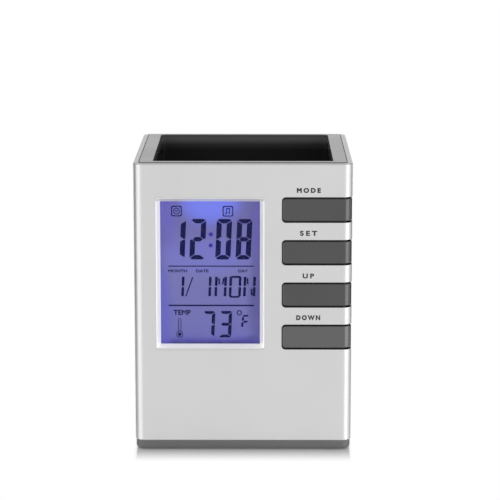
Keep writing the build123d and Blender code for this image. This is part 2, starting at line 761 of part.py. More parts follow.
# Base: a tray with a spigot inside the sleeve, the battery bay, collars for the case screws and a
# seat for the buzzer.
seat_bottom = floor_top + buzzer_lift
seat_top = seat_bottom + 2 * buzzer_thickness
tab_front_y = bay_center_y - door_width / 2 - tab_length
tail_heights = {"negative": cell_z + contact_height / 2 - contact_thickness / 2, "positive": cell_z}
slot_length = bay_wall + overrun
screw_spread_y = case_screw_back_y - case_screw_front_y
screw_middle_y = (case_screw_back_y + case_screw_front_y) / 2
with BuildPart() as base:
    with BuildSketch(Plane.XY.offset(base_bottom)):
        RectangleRounded(
            outer_width - 2 * base_inset, outer_depth - 2 * base_inset, corner_radius - base_inset
        )
    extrude(amount=base_top - base_bottom)
    fillet(base.faces().sort_by(Axis.Z)[0].edges(), radius=base_round)
    chamfer(base.faces().sort_by(Axis.Z)[-1].edges(), length=seam_chamfer)
    with BuildSketch(Plane.XY.offset(floor_top)):
        RectangleRounded(spigot_width, spigot_depth, inner_radius - fit_gap)
    extrude(amount=base_top + spigot_height - floor_top)
    with BuildSketch(Plane.XY.offset(floor_top)):
        Rectangle(pocket_width, pocket_depth)
    extrude(amount=base_top + spigot_height - floor_top, mode=Mode.SUBTRACT)
    with BuildSketch(Plane.XY.offset(floor_top)):
        with Locations((0, bay_center_y)):
            Rectangle(bay_outer_length, bay_outer_width)
    extrude(amount=roof_top - floor_top)
    with BuildSketch(Plane.XY.offset(floor_top)):
        with Locations((0, screw_middle_y)):
            with GridLocations(2 * case_screw_x, screw_spread_y, 2, 2):
                Circle(collar_radius)
    extrude(amount=collar_height)
    with BuildSketch(Plane.XY.offset(floor_top)):
        with Locations((0, buzzer_y)):
            Circle(seat_radius)
            Circle(buzzer_radius - buzzer_ledge, mode=Mode.SUBTRACT)
    extrude(amount=seat_top - floor_top)
    with BuildSketch(Plane.XY.offset(seat_bottom)):
        with Locations((0, buzzer_y)):
            Circle(buzzer_radius + fit_gap)
    extrude(amount=seat_top - seat_bottom, mode=Mode.SUBTRACT)
    with BuildSketch(Plane.XY.offset(roof_bottom)):
        with Locations((0, bay_center_y)):
            Rectangle(bay_length, bay_width)
    extrude(amount=-roof_bottom, mode=Mode.SUBTRACT)
    with BuildSketch(Plane.XY.offset(floor_top)):
        with Locations((0, bay_center_y)):
            Rectangle(door_length + 2 * door_gap, door_width + 2 * door_gap)
        with Locations((0, tab_front_y - door_gap)):
            Rectangle(tab_width + 2 * door_gap, 2 * tab_length, align=(Align.CENTER, Align.MIN))
        with Locations((0, buzzer_y)):
            Circle(sound_hole_radius)
            with PolarLocations(sound_hole_ring, sound_hole_count):
                Circle(sound_hole_radius)
        with Locations((vent_x, vent_inset - half_depth)):
            with GridLocations(vent_pitch, 0, vent_count, 1):
                Rectangle(vent_width, vent_length)
        with Locations((0, screw_middle_y)):
            with GridLocations(2 * case_screw_x, screw_spread_y, 2, 2):
                Circle(case_screw_radius + fit_gap)
    extrude(amount=-floor_top, mode=Mode.SUBTRACT)
    with BuildSketch(Plane.XY.offset(collar_top)):
        with Locations((0, screw_middle_y)):
            with GridLocations(2 * case_screw_x, screw_spread_y, 2, 2):
                Circle(case_screw_radius + fit_gap)
    extrude(amount=floor_top - collar_top, mode=Mode.SUBTRACT)
    with BuildSketch(Plane.XY.offset(collar_top - case_screw_web)):
        with Locations((0, screw_middle_y)):
            with GridLocations(2 * case_screw_x, screw_spread_y, 2, 2):
                Circle(case_head_radius + fit_gap)
    extrude(amount=case_screw_web - collar_top, mode=Mode.SUBTRACT)
    with BuildSketch(Plane.XY.offset(base_bottom + foot_recess)):
        with GridLocations(outer_width - 2 * foot_inset, outer_depth - 2 * foot_inset, 2, 2):
            Circle(foot_radius + fit_gap)
    extrude(amount=-overrun, mode=Mode.SUBTRACT)
    with BuildSketch(Plane.XY.offset(base_bottom + scoop_depth)):
        with Locations((0, tab_front_y - door_gap)):
            Circle(scoop_radius)
    extrude(amount=-overrun, mode=Mode.SUBTRACT)
    with BuildSketch(Plane.XZ.offset(-bay_center_y - bay_width / 2)):
        with Locations((-tongue_spread / 2, floor_top), (tongue_spread / 2, floor_top)):
            Rectangle(tongue_width + 2 * door_gap, tongue_swing, align=(Align.CENTER, Align.MIN))
    extrude(amount=-slot_length, mode=Mode.SUBTRACT)
    with BuildSketch(Plane.YZ.offset(-bay_length / 2)):
        with Locations((front_cell_y, tail_heights["negative"]), (back_cell_y, tail_heights["positive"])):
            Rectangle(tail_width + 2 * fit_gap, contact_thickness + 2 * fit_gap)
    extrude(amount=-slot_length, mode=Mode.SUBTRACT)
save(base.part, "base_tray")

# Battery door: its round back edge is centred on the hinge axis and its two tongues reach through
# the bay's back wall. A tab in front snaps into the base.
hinge_y = bay_center_y + door_width / 2 - door_thickness / 2
hinge_z = base_bottom + door_thickness / 2
door_front_y = bay_center_y - door_width / 2
tongue_bottom = door_top + tongue_lift
tongue_length = riser_width / 2 + door_thickness / 2 + tongue_reach
with BuildPart() as door:
    with BuildSketch(Plane.YZ.offset(-door_length / 2)):
        with Locations((door_front_y, base_bottom)):
            Rectangle(hinge_y - door_front_y, door_thickness, align=Align.MIN)
        with Locations((hinge_y, hinge_z)):
            Circle(door_thickness / 2)
    extrude(amount=door_length)
    with BuildSketch(Plane.XY.offset(base_bottom)):
        with Locations((0, tab_front_y)):
            Rectangle(tab_width, 2 * tab_length, align=(Align.CENTER, Align.MIN))
    extrude(amount=door_thickness)
    with BuildSketch(Plane.YZ.offset(-tab_width / 4)):
        with Locations((tab_front_y, hinge_z)):
            Circle(snap_radius)
    extrude(amount=tab_width / 2)
    for tongue_x in (-tongue_spread / 2, tongue_spread / 2):
        with BuildSketch(Plane.YZ.offset(tongue_x - tongue_width / 2)):
            with Locations((hinge_y, hinge_z)):
                Rectangle(riser_width, tongue_bottom - hinge_z, align=(Align.CENTER, Align.MIN))
            with Locations((hinge_y - riser_width / 2, tongue_bottom)):
                Rectangle(tongue_length, tongue_height, align=Align.MIN)
        extrude(amount=tongue_width)
    with BuildSketch(Plane.XY.offset(base_bottom)):
        with Locations((0, door_front_y + grip_count * grip_pitch)):
            with GridLocations(0, grip_pitch, 1, grip_count):
                Rectangle(grip_length, grip_width)
    extrude(amount=grip_depth, mode=Mode.SUBTRACT)
save(door.part, "battery_door")

# Feet, glued in shallow recesses.
with BuildPart() as feet:
    with BuildSketch(Plane.XY):
        with GridLocations(outer_width - 2 * foot_inset, outer_depth - 2 * foot_inset, 2, 2):
            Circle(foot_radius)
    extrude(amount=base_bottom + foot_recess)
save(feet.part, "foot_pads")

# Case screws, from below through the base's collars into the cup's bosses.
head_top = collar_top - case_screw_web
with BuildPart() as case_screws:
    with BuildSketch(Plane.XY.offset(head_top)):
        with Locations((0, screw_middle_y)):
            with GridLocations(2 * case_screw_x, screw_spread_y, 2, 2):
                Circle(case_head_radius)
    extrude(amount=-case_head_height)
    with BuildSketch(Plane.XY.offset(head_top)):
        with Locations((0, screw_middle_y)):
            with GridLocations(2 * case_screw_x, screw_spread_y, 2, 2):
                Circle(case_screw_radius)
    extrude(amount=case_screw_length)
    with BuildSketch(Plane.XY.offset(head_top - case_head_height)):
        with Locations((0, screw_middle_y)):
            with GridLocations(2 * case_screw_x, screw_spread_y, 2, 2):
                Rectangle(2 * case_screw_radius, drive_slot_width)
                Rectangle(drive_slot_width, 2 * case_screw_radius)
    extrude(amount=drive_slot_depth, mode=Mode.SUBTRACT)
save(case_screws.part, "case_screws")

# Cells side by side. The front one has its plus end at the right, the back one at the left.
plate_face = bay_length / 2 - thin_gap - contact_thickness
nub_tip = plate_face - thin_gap
half_turn_axis = Axis((0, bay_center_y, 0), (0, 0, 1))
with BuildPart() as front_cell:
    with BuildSketch(Plane.YZ.offset(nub_tip - nub_length)):
        with Locations((front_cell_y, cell_z)):
            Circle(cell_radius)
    extrude(amount=nub_length - cell_length)
    fillet(front_cell.edges().filter_by(GeomType.CIRCLE), radius=cell_edge_round)
    with BuildSketch(Plane.YZ.offset(nub_tip - nub_length)):
        with Locations((front_cell_y, cell_z)):
            Circle(nub_radius)
    extrude(amount=nub_length)
    chamfer(front_cell.faces().sort_by(Axis.X)[-1].edges(), length=seam_chamfer)
save(front_cell.part, "front_cell")
save(front_cell.part.rotate(half_turn_axis, 180), "back_cell")

# Contacts: one plate with a tail for each cell at the left, and one plate that joins both cells at
# the right.
for pole, cell_y in (("negative", front_cell_y), ("positive", back_cell_y)):
    with BuildPart() as contact:
        with BuildSketch(Plane.YZ.offset(-plate_face)):
            with Locations((cell_y, cell_z)):
                Rectangle(contact_width, contact_height)
        extrude(amount=-contact_thickness)
        with BuildSketch(Plane.YZ.offset(-plate_face)):
            with Locations((cell_y, tail_heights[pole])):
                Rectangle(tail_width, contact_thickness)
        extrude(amount=-contact_thickness - thin_gap - bay_wall - tail_length)
    save(contact.part, f"{pole}_contact")

with BuildPart() as bridge:
    with BuildSketch(Plane.YZ.offset(plate_face)):
        with Locations((bay_center_y, cell_z)):
            Rectangle(contact_width + back_cell_y - front_cell_y, contact_height)
    extrude(amount=contact_thickness)
save(bridge.part, "bridge_contact")

# Conical contact springs. The centre line is a straight leg square to the plate, the turns as two
# tangent arcs for each quarter turn, and a straight leg square to the cell.
leg_length = 2 * spring_wire
leg_rise = leg_length + spring_bend
spring_start_x = -plate_face + 2 * thin_gap
coil_length = spring_room - 4 * thin_gap - 2 * leg_rise
quarters = 4 * spring_turns


def coil_point(turn):
    radius = spring_big_radius + (spring_small_radius - spring_big_radius) * turn / spring_turns
    angle = 2 * pi * turn
    across = Vector(0, cos(angle), sin(angle)) * radius
    along = spring_start_x + leg_rise + coil_length * turn / spring_turns
    return across + Vector(along, front_cell_y, cell_z)


def coil_tangent(turn):
    step = spring_probe / spring_turns
    return (coil_point(turn + step) - coil_point(turn - step)).normalized()


coil_points = [coil_point(quarter / 4) for quarter in range(quarters + 1)]
coil_tangents = [coil_tangent(quarter / 4) for quarter in range(quarters + 1)]
leg_direction = Vector(1, 0, 0)
first_leg = coil_points[0] - leg_direction * spring_bend - coil_tangents[0] * spring_bend
last_leg = coil_points[-1] + leg_direction * spring_bend + coil_tangents[-1] * spring_bend
route_points = [first_leg] + coil_points + [last_leg]
route_tangents = [leg_direction] + coil_tangents + [leg_direction]
with BuildPart() as front_spring:
    with BuildLine() as spring_route:
        Line(first_leg - leg_direction * leg_length, first_leg)
        for start, end, out, into in zip(route_points, route_points[1:], route_tangents, route_tangents[1:]):
            span = end - start
            lean = span.dot(out + into)
            bend = 2 - 2 * out.dot(into)
            reach = (sqrt(lean * lean + bend * span.dot(span)) - lean) / bend
            middle = (start + end + (out - into) * reach) * 0.5
            TangentArc(start, middle, tangent=out)
            TangentArc(middle, end, tangent=(end - into * reach - start - out * reach).normalized())
        Line(last_leg, last_leg + leg_direction * leg_length)
    with BuildSketch(Plane(first_leg - leg_direction * leg_length, z_dir=leg_direction)):
        Circle(spring_wire)
    sweep(path=spring_route.line)
spring_length = check_volume(front_spring.part, spring_wire, spring_route)
samples = range(spring_samples + 1)
gap_points = [(sample, spring_route.line @ (sample / spring_samples)) for sample in samples]
apart = [
    (first - second).length - 2 * spring_wire
    for sample, first in gap_points
    for other, second in gap_points
    if (other - sample) * spring_length / spring_samples > 8 * spring_wire
]
print("spring's least gap to itself", round(min(apart), 2))
save(front_spring.part, "front_contact_spring")
save(front_spring.part.rotate(half_turn_axis, 180), "back_contact_spring")

# Battery wires, from the front edges of the contacts' tails to the board's lower edge. The negative
# one leans inwards, so that they rise side by side.
wire_x = -bay_outer_length / 2 - tail_length / 2
wire_end_z = board_bottom - thin_gap
rise_places = {"negative": (front_cell_y, wire_x + battery_wire_pitch), "positive": (back_cell_y, wire_x)}
for pole, (cell_y, rise_x) in rise_places.items():
    wire_points = [
        (wire_x, cell_y - tail_width / 2 - thin_gap, tail_heights[pole]),
        (rise_x, wire_y, tail_heights[pole]),
        (rise_x, wire_y, wire_end_z),
    ]
    with BuildPart() as wire:
        with BuildLine() as wire_route:
            FilletPolyline(*wire_points, radius=bend_radii(wire_points))
        with BuildSketch(Plane(wire_points[0], z_dir=Vector(*wire_points[1]) - Vector(*wire_points[0]))):
            Circle(battery_wire_radius)
        sweep(path=wire_route.line)
    check_volume(wire.part, battery_wire_radius, wire_route)
    save(wire.part, f"{pole}_wire")

# Buzzer: brass disc with a ceramic on it, seated over the sound holes, and its two wires.
with BuildPart() as buzzer_disc:
    with BuildSketch(Plane.XY.offset(seat_bottom)):
        with Locations((0, buzzer_y)):
            Circle(buzzer_radius)
    extrude(amount=buzzer_thickness)
save(buzzer_disc.part, "buzzer_disc")

disc_top = seat_bottom + buzzer_thickness
with BuildPart() as ceramic:
    with BuildSketch(Plane.XY.offset(disc_top)):
        with Locations((0, buzzer_y)):
            Circle(ceramic_radius)
    extrude(amount=ceramic_thickness)
save(ceramic.part, "buzzer_ceramic")

disc_wire_x = (ceramic_radius + buzzer_radius) / 2
with BuildPart() as buzzer_wires:
    for start_x, start_z in ((disc_wire_x, disc_top), (0, disc_top + ceramic_thickness)):
        wire_points = [
            (start_x, buzzer_y, start_z + thin_gap),
            (start_x, buzzer_y, buzzer_wire_height),
            (start_x, wire_y, buzzer_wire_height),
            (start_x, wire_y, wire_end_z),
        ]
        with BuildLine() as wire_route:
            FilletPolyline(*wire_points, radius=bend_radii(wire_points))
        with BuildSketch(Plane(wire_points[0], z_dir=(0, 0, 1))):
            Circle(buzzer_wire_radius)
        sweep(path=wire_route.line)
save(buzzer_wires.part, "buzzer_wires")

# Thermometer's sensor bead, hung on two wires below the board over the vents.
sensor_z = board_bottom - sensor_drop
with BuildPart() as sensor_bead:
    with Locations((vent_x, wire_y, sensor_z)):
        Sphere(sensor_radius)
save(sensor_bead.part, "sensor_bead")

with BuildPart() as sensor_wires:
    with BuildSketch(Plane.XY.offset(sensor_z + sensor_radius)):
        with Locations((vent_x, wire_y)):
            with GridLocations(sensor_wire_spread, 0, 2, 1):
                Circle(sensor_wire_radius)
    extrude(amount=wire_end_z - sensor_z - sensor_radius)
save(sensor_wires.part, "sensor_wires")
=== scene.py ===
import math

import bmesh
import bpy
from mathutils import Matrix, Vector


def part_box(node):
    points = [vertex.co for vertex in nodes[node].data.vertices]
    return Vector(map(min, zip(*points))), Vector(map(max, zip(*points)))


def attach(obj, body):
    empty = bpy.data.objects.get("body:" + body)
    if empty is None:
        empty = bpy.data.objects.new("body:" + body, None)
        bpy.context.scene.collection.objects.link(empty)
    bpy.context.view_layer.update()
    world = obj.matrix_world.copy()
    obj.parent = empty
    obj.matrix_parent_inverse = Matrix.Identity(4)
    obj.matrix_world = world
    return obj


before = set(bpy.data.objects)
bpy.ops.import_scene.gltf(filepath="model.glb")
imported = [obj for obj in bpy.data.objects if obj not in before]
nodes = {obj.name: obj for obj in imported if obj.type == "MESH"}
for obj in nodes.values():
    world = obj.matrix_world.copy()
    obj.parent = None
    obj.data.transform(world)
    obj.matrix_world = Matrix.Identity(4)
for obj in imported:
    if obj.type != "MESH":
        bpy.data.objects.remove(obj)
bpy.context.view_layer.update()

mm = 0.001
keyNames = ("down", "up", "set", "mode")
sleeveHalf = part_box("outer_sleeve")[1].x / mm  # half its width
sleeveCorner = 3.4  # rounding of its upright edges, in mm


# small helpers for materials

def linear(colour):  # screen values 0-255 to the shader's linear ones
    values = []
    for level in colour:
        share = level / 255
        values.append(share / 12.92 if share <= 0.04045 else ((share + 0.055) / 1.055) ** 2.4)
    return (*values, 1.0)


def addNode(tree, kind, inputs=None, **settings):
    node = tree.nodes.new(kind)
    for key, value in settings.items():
        setattr(node, key, value)
    for key, value in (inputs or {}).items():
        if isinstance(value, bpy.types.NodeSocket):
            tree.links.new(value, node.inputs[key])
        else:
            node.inputs[key].default_value = value
    return node


def calc(tree, operation, a, b=0.0, c=0.0):
    return addNode(tree, "ShaderNodeMath", {0: a, 1: b, 2: c}, operation=operation).outputs[0]


def vectorCalc(tree, operation, a, b=(0.0, 0.0, 0.0)):
    node = addNode(tree, "ShaderNodeVectorMath", {0: a, 1: b}, operation=operation)
    return node.outputs["Value" if operation == "LENGTH" else "Vector"]


def partsOf(tree, vector):
    return addNode(tree, "ShaderNodeSeparateXYZ", {0: vector}).outputs


def joined(tree, x=0.0, y=0.0, z=0.0):
    return addNode(tree, "ShaderNodeCombineXYZ", {0: x, 1: y, 2: z}).outputs[0]


def remap(tree, value, fromLow, fromHigh, toLow, toHigh, kind="LINEAR"):
    inputs = {"Value": value, "From Min": fromLow, "From Max": fromHigh, "To Min": toLow, "To Max": toHigh}
    return addNode(tree, "ShaderNodeMapRange", inputs, interpolation_type=kind).outputs["Result"]


def shareOf(tree, value, start, end, full=1.0):  # 0 at start and full at end, both in mm
    return remap(tree, value, start * mm, end * mm, 0.0, full)


def ramp(tree, value, stops):
    node = addNode(tree, "ShaderNodeValToRGB", {"Fac": value})
    elements = node.color_ramp.elements
    for element, stop in zip((elements[0], elements[-1]), (stops[0], stops[-1])):
        element.position, element.color = stop[0], linear(stop[1])
    for place, colour in stops[1:-1]:
        elements.new(place).color = linear(colour)
    return node.outputs["Color"]


def blendColours(tree, share, first, second):
    node = addNode(tree, "ShaderNodeMix", {0: share, 6: first, 7: second}, data_type="RGBA")
    return node.outputs[2]


def noise(tree, place, size, detail=3.0, roughness=0.55):  # size of a blotch in mm
    inputs = {"Vector": place, "Scale": 1 / (size * mm), "Detail": detail, "Roughness": roughness}
    return addNode(tree, "ShaderNodeTexNoise", inputs).outputs["Fac"]


def opened(material):  # its tree, its shader and the place of a point on the object
    tree = material.node_tree
    return tree, tree.nodes["Principled BSDF"], addNode(tree, "ShaderNodeTexCoord").outputs["Object"]


def startMaterial(name):
    material = bpy.data.materials.new(name)
    material.use_nodes = True
    return material, *opened(material)


def layColour(tree, shader, share, colour):  # over the colour that the shader has so far
    below = shader.inputs["Base Color"].links[0].from_socket
    tree.links.new(blendColours(tree, share, below, colour), shader.inputs["Base Color"])


def bumpOf(tree, height, strength, depth, under=None):  # depth in mm
    inputs = {"Height": height, "Strength": strength, "Distance": depth * mm}
    if under:
        inputs["Normal"] = under
    return addNode(tree, "ShaderNodeBump", inputs).outputs["Normal"]


# What a surface has where its own dictionary says nothing else. Drift and grain are blotch sizes and
# depth is the bump's, all in mm, and speck is the grain's share of the colour.
plainLook = {
    "drift": 2, "grain": 0.1, "speck": 0.4, "rough": (0.35, 0.45), "bump": 0.15, "depth": 0.01,
    "metal": 0.0, "gloss": 0.5, "coat": 0.0, "coatRough": 0.1,
}
plainSockets = {
    "Metallic": "metal", "Specular IOR Level": "gloss", "Coat Weight": "coat", "Coat Roughness": "coatRough",
}
noiseRange = {"colour": (0.32, 0.68), "rough": (0.3, 0.7)}  # most of a noise's values lie inside


# moulded, painted or metal surface: colour drifts slowly, a fine grain sits on it
def surface(name, ownLook):
    look = {**plainLook, **ownLook}
    material, tree, shader, place = startMaterial(name)
    drift = noise(tree, place, look["drift"], detail=4.0)
    grain = noise(tree, place, look["grain"], detail=2.0)
    slow = calc(tree, "MULTIPLY", drift, 1 - look["speck"])
    fine = calc(tree, "MULTIPLY", grain, look["speck"])
    stops = zip(noiseRange["colour"], (look["dark"], look["light"]))
    tree.links.new(ramp(tree, calc(tree, "ADD", slow, fine), list(stops)), shader.inputs["Base Color"])
    tree.links.new(remap(tree, drift, *noiseRange["rough"], *look["rough"]), shader.inputs["Roughness"])
    tree.links.new(bumpOf(tree, grain, look["bump"], look["depth"]), shader.inputs["Normal"])
    for socket, key in plainSockets.items():
        shader.inputs[socket].default_value = look[key]
    return material


# the same with its colour blended to another one over each band, which runs between two heights in mm
def banded(name, look):
    material = surface(name, look)
    tree, shader, place = opened(material)
    height = partsOf(tree, place)["Z"]
    for start, end, colour in look["bands"]:
        layColour(tree, shader, shareOf(tree, height, start, end), linear(colour))
    return material


def dress(names, material):
    for name in names if isinstance(names, (list, tuple)) else [names]:
        nodes[name].data.materials.clear()
        nodes[name].data.materials.append(material)


# sleeve, bezel, keys, cup, base

# How far a point lies outside a square of this half width, seen from above.
def pastSquare(tree, place, half):
    tallerThanAll = 1.0  # it takes the height out
    away = vectorCalc(tree, "ABSOLUTE", place)
    return vectorCalc(tree, "MAXIMUM", vectorCalc(tree, "SUBTRACT", away, (half, half, tallerThanAll)))


# Share of a point's depth under the sleeve's rounded outside, 0 at start mm and 1 at end mm.
def depthShare(tree, place, start, end):
    reach = vectorCalc(tree, "LENGTH", pastSquare(tree, place, (sleeveHalf - sleeveCorner) * mm))
    return shareOf(tree, reach, sleeveCorner - start, sleeveCorner - end)


# satin silver lacquer with a very fine flake, over plastic that is bare inside, painted near black as shade
# in its notches and gaps
sleeveLook = {
    "dark": (200, 200, 200), "light": (206, 206, 206), "drift": 30, "grain": 0.12, "speck": 0.45,
    "rough": (0.31, 0.36), "bump": 0.08, "metal": 0.55, "coat": 0.1, "coatRough": 0.2,
    "rim": {"colour": (172, 172, 173), "from": 104.2, "to": 104.65},  # painted shade: the rim's top darker than the walls
    # bare, and near black as painted shade, between two depths under the outside, up to two heights, and not
    # on the window's edges
    "bare": {"colour": (16, 16, 17), "from": 0.1, "to": 0.25, "top": 104.55, "topEnd": 104.75},
    "window": {"right": 14.0, "bottom": 30.0, "depth": 37.3},
}


def lacquer(look):
    material = surface("silverLacquer", look)
    tree, shader, place = opened(material)
    parts = partsOf(tree, place)
    rim, bareAndShade, window = look["rim"], look["bare"], look["window"]
    deep = depthShare(tree, place, bareAndShade["from"], bareAndShade["to"])
    inside = remap(tree, parts["Z"], bareAndShade["top"] * mm, bareAndShade["topEnd"] * mm, 1.0, 0.0)
    behind = calc(tree, "GREATER_THAN", parts["Y"], -window["depth"] * mm)
    beside = calc(tree, "GREATER_THAN", parts["X"], window["right"] * mm)
    below = calc(tree, "LESS_THAN", parts["Z"], window["bottom"] * mm)
    elsewhere = calc(tree, "MAXIMUM", behind, calc(tree, "MAXIMUM", beside, below))
    bare = calc(tree, "MULTIPLY", calc(tree, "MULTIPLY", deep, inside), elsewhere)
    layColour(tree, shader, shareOf(tree, parts["Z"], rim["from"], rim["to"]), linear(rim["colour"]))
    # bare plastic, darkened to near black as painted shade in the gaps round the keys
    layColour(tree, shader, bare, linear(bareAndShade["colour"]))
    tree.links.new(remap(tree, bare, 0.0, 1.0, look["metal"], 0.0), shader.inputs["Metallic"])
    return material


silverLacquer = lacquer(sleeveLook)
dress("outer_sleeve", silverLacquer)

# brighter satin metal for the frame round the display, with painted shade on its top side and its lower lip
bezelLook = {
    "dark": (250, 250, 249), "light": (255, 255, 254), "drift": 12, "speck": 0.3,
    "rough": (0.34, 0.4), "bump": 0.015, "depth": 0.004, "metal": 0.45,
    "bands": [(91.1, 91.5, (220, 220, 218)), (38.1, 37.95, (226, 226, 226))],  # heights and colour of the painted shade on the top side and the lower lip
}
dress("display_bezel", banded("brightFrame", bezelLook))

# dark grey keys with a fine eroded texture, with painted shade making them black on their sides and where
# they face up
keyLook = {
    "dark": (38, 38, 38), "light": (45, 45, 45), "drift": 14, "grain": 0.16, "rough": (0.26, 0.32),
    "bump": 0.12, "depth": 0.012, "metal": 0.2, "coat": 1.0, "coatRough": 0.08,
    # painted shade: black on the sides and on edges that face up, as if shadowed by the notch
    "sides": {"colour": (4, 4, 4), "from": 0.3, "to": 0.55, "upFrom": 0.05, "upTo": 0.5},
    "lowest": {"colour": (76, 75, 75), "share": 0.8, "from": 52.0, "to": 47.0},  # painted light: the lowest key lighter, as if lit by a reflection
}


def keyPlastic(look):
    material = surface("keyPlastic", look)
    tree, shader, place = opened(material)
    sides, low = look["sides"], look["lowest"]
    deep = depthShare(tree, place, sides["from"], sides["to"])
    facing = partsOf(tree, addNode(tree, "ShaderNodeNewGeometry").outputs["Normal"])["Z"]
    # painted shade where the key lies deep under the sleeve's outside and where it faces up
    dark = calc(tree, "MAXIMUM", deep, remap(tree, facing, sides["upFrom"], sides["upTo"], 0.0, 1.0))
    # painted light on the lowest key
    paintedShading = shareOf(tree, partsOf(tree, place)["Z"], low["from"], low["to"], low["share"])
    layColour(tree, shader, paintedShading, linear(low["colour"]))
    layColour(tree, shader, dark, linear(sides["colour"]))
    return material


dress([key + "_key" for key in keyNames], keyPlastic(keyLook))

# Glossy black cup with painted light on the upper part of its inner walls and mouth, and painted shade lower
# down. The shades are levels on top of its light colour, from shadeLow to shadeHigh in mm, and come in over
# the first shadeStart of that height.
cupLook = {
    "dark": (29, 29, 30), "light": (37, 37, 38), "drift": 20, "grain": 0.3, "speck": 0.3,
    "rough": (0.16, 0.22), "bump": 0.05, "gloss": 0.45,
    "shadeLow": 96.5, "shadeHigh": 105.0, "shadeStart": 0.3,
    "shades": [(0.0, -8), (0.3, -6), (0.55, 16), (0.78, 58), (0.9, 56), (0.965, 20), (1.0, 13)],
}


def cupBlack(look):
    material = surface("cupBlack", look)
    tree, shader, place = opened(material)
    share = shareOf(tree, partsOf(tree, place)["Z"], look["shadeLow"], look["shadeHigh"])
    paintedShading = ramp(tree, share, [(stop, [look["light"][0] + more] * 3) for stop, more in look["shades"]])
    # painted light on the upper inner walls and mouth, painted shade below
    layColour(tree, shader, remap(tree, share, 0.0, look["shadeStart"], 0.0, 1.0), paintedShading)
    return material


dress("inner_cup", cupBlack(cupLook))

# dark grey base and battery door, a little coarser than the keys, with a painted highlight as a lighter line
# under the seam
baseLook = {
    "dark": (88, 88, 88), "light": (98, 98, 98), "drift": 16, "grain": 0.25, "speck": 0.45,
    # the band is a painted highlight under the seam
    "rough": (0.42, 0.5), "bump": 0.3, "depth": 0.03, "bands": [(3.2, 3.5, (116, 116, 116))],
}
dress(["base_tray", "battery_door"], banded("basePlastic", baseLook))

footLook = {
    "dark": (26, 26, 27), "light": (36, 36, 37), "drift": 3, "grain": 0.2, "speck": 0.5,
    "rough": (0.75, 0.85), "bump": 0.5, "depth": 0.03, "gloss": 0.3,
}
dress("foot_pads", surface("footRubber", footLook))
print("shell finished")


# display

# Backlit panel: violet ground, blue glow of the lamp at the top, darker band at the bottom.
panelLook = {
    "bottom": 39.2, "top": 91.1,  # heights in mm of the ground's first and last colour
    "ground": [
        (0.0, (54, 49, 124)), (0.022, (73, 70, 164)), (0.055, (102, 101, 177)), (0.2, (109, 108, 178)),
        (0.5, (113, 112, 175)), (0.8, (107, 104, 170)), (1.0, (96, 92, 158)),
    ],
    "glows": [  # middle X and Z, radii in mm, colour, share
        ((-11.8, 93.0), (12.0, 11.0), (115, 128, 247), 1.0),
        ((-30.0, 88.0), (7.0, 18.0), (98, 92, 192), 0.8),
        ((-30.5, 50.0), (5.5, 22.0), (94, 94, 192), 0.85),
        ((-30.5, 76.0), (4.5, 10.0), (100, 96, 170), 0.8),
        ((-14.0, 71.0), (17.0, 7.0), (114, 116, 208), 0.6),
        ((6.5, 80.0), (5.0, 16.0), (91, 85, 164), 0.9),
        ((7.0, 54.0), (5.5, 20.0), (84, 80, 146), 0.95),
        ((8.0, 38.0), (9.0, 5.0), (70, 64, 148), 0.9),
    ],
    "glowEnd": 1.6,  # a glow ends where its squared distance, in radii, reaches this
    "cloud": {"size": 9, "from": 0.35, "to": 0.75, "colour": (128, 126, 190), "share": 0.12},
    "film": (18, 18, 34), "rough": (0.5, 0.6), "strength": 0.88,
}


def panelMaterial(look):
    material, tree, shader, place = startMaterial("backlitPanel")
    parts = partsOf(tree, place)
    colour = ramp(tree, shareOf(tree, parts["Z"], look["bottom"], look["top"]), look["ground"])
    for middle, radii, glow, share in look["glows"]:
        squares = []
        for part, centre, radius in zip((parts["X"], parts["Z"]), middle, radii):
            offset = calc(tree, "DIVIDE", calc(tree, "SUBTRACT", part, centre * mm), radius * mm)
            squares.append(calc(tree, "MULTIPLY", offset, offset))
        reach = calc(tree, "ADD", *squares)
        fade = remap(tree, reach, 0.0, look["glowEnd"], share, 0.0, "SMOOTHERSTEP")
        colour = blendColours(tree, fade, colour, linear(glow))
    cloud = look["cloud"]
    blotches = noise(tree, place, cloud["size"], detail=2.0)
    haze = remap(tree, blotches, cloud["from"], cloud["to"], 0.0, cloud["share"])
    colour = blendColours(tree, haze, colour, linear(cloud["colour"]))
    tree.links.new(colour, shader.inputs["Emission Color"])
    shader.inputs["Emission Strength"].default_value = look["strength"]
    shader.inputs["Base Color"].default_value = linear(look["film"])
    tree.links.new(remap(tree, blotches, *noiseRange["rough"], *look["rough"]), shader.inputs["Roughness"])
    return material


dress("lcd_front_film", panelMaterial(panelLook))

lensLook = {"tint": (252, 252, 255), "ior": 1.12, "gloss": 0.2, "haze": 6, "rough": (0.0, 0.012)}


def lensMaterial(look):
    material, tree, shader, place = startMaterial("clearWindow")
    shader.inputs["Base Color"].default_value = linear(look["tint"])
    shader.inputs["Transmission Weight"].default_value = 1.0
    shader.inputs["IOR"].default_value = look["ior"]
    shader.inputs["Specular IOR Level"].default_value = look["gloss"]
    haze = noise(tree, place, look["haze"])
    tree.links.new(remap(tree, haze, *noiseRange["rough"], *look["rough"]), shader.inputs["Roughness"])
    return material


dress("display_lens", lensMaterial(lensLook))


# Outlines in the front plane, X and Z in mm, made into thin closed plates.
def addPlate(bm, outline, front, back):
    area = sum(a[0] * b[1] - b[0] * a[1] for a, b in zip(outline, outline[1:] + outline[:1]))
    if area < 0:
        outline = outline[::-1]
    near = [bm.verts.new((x * mm, front * mm, z * mm)) for x, z in outline]
    far = [bm.verts.new((x * mm, back * mm, z * mm)) for x, z in outline]
    bm.faces.new(near)
    bm.faces.new(far[::-1])
    for i in range(len(outline)):
        j = (i + 1) % len(outline)
        bm.faces.new((near[j], near[i], far[i], far[j]))


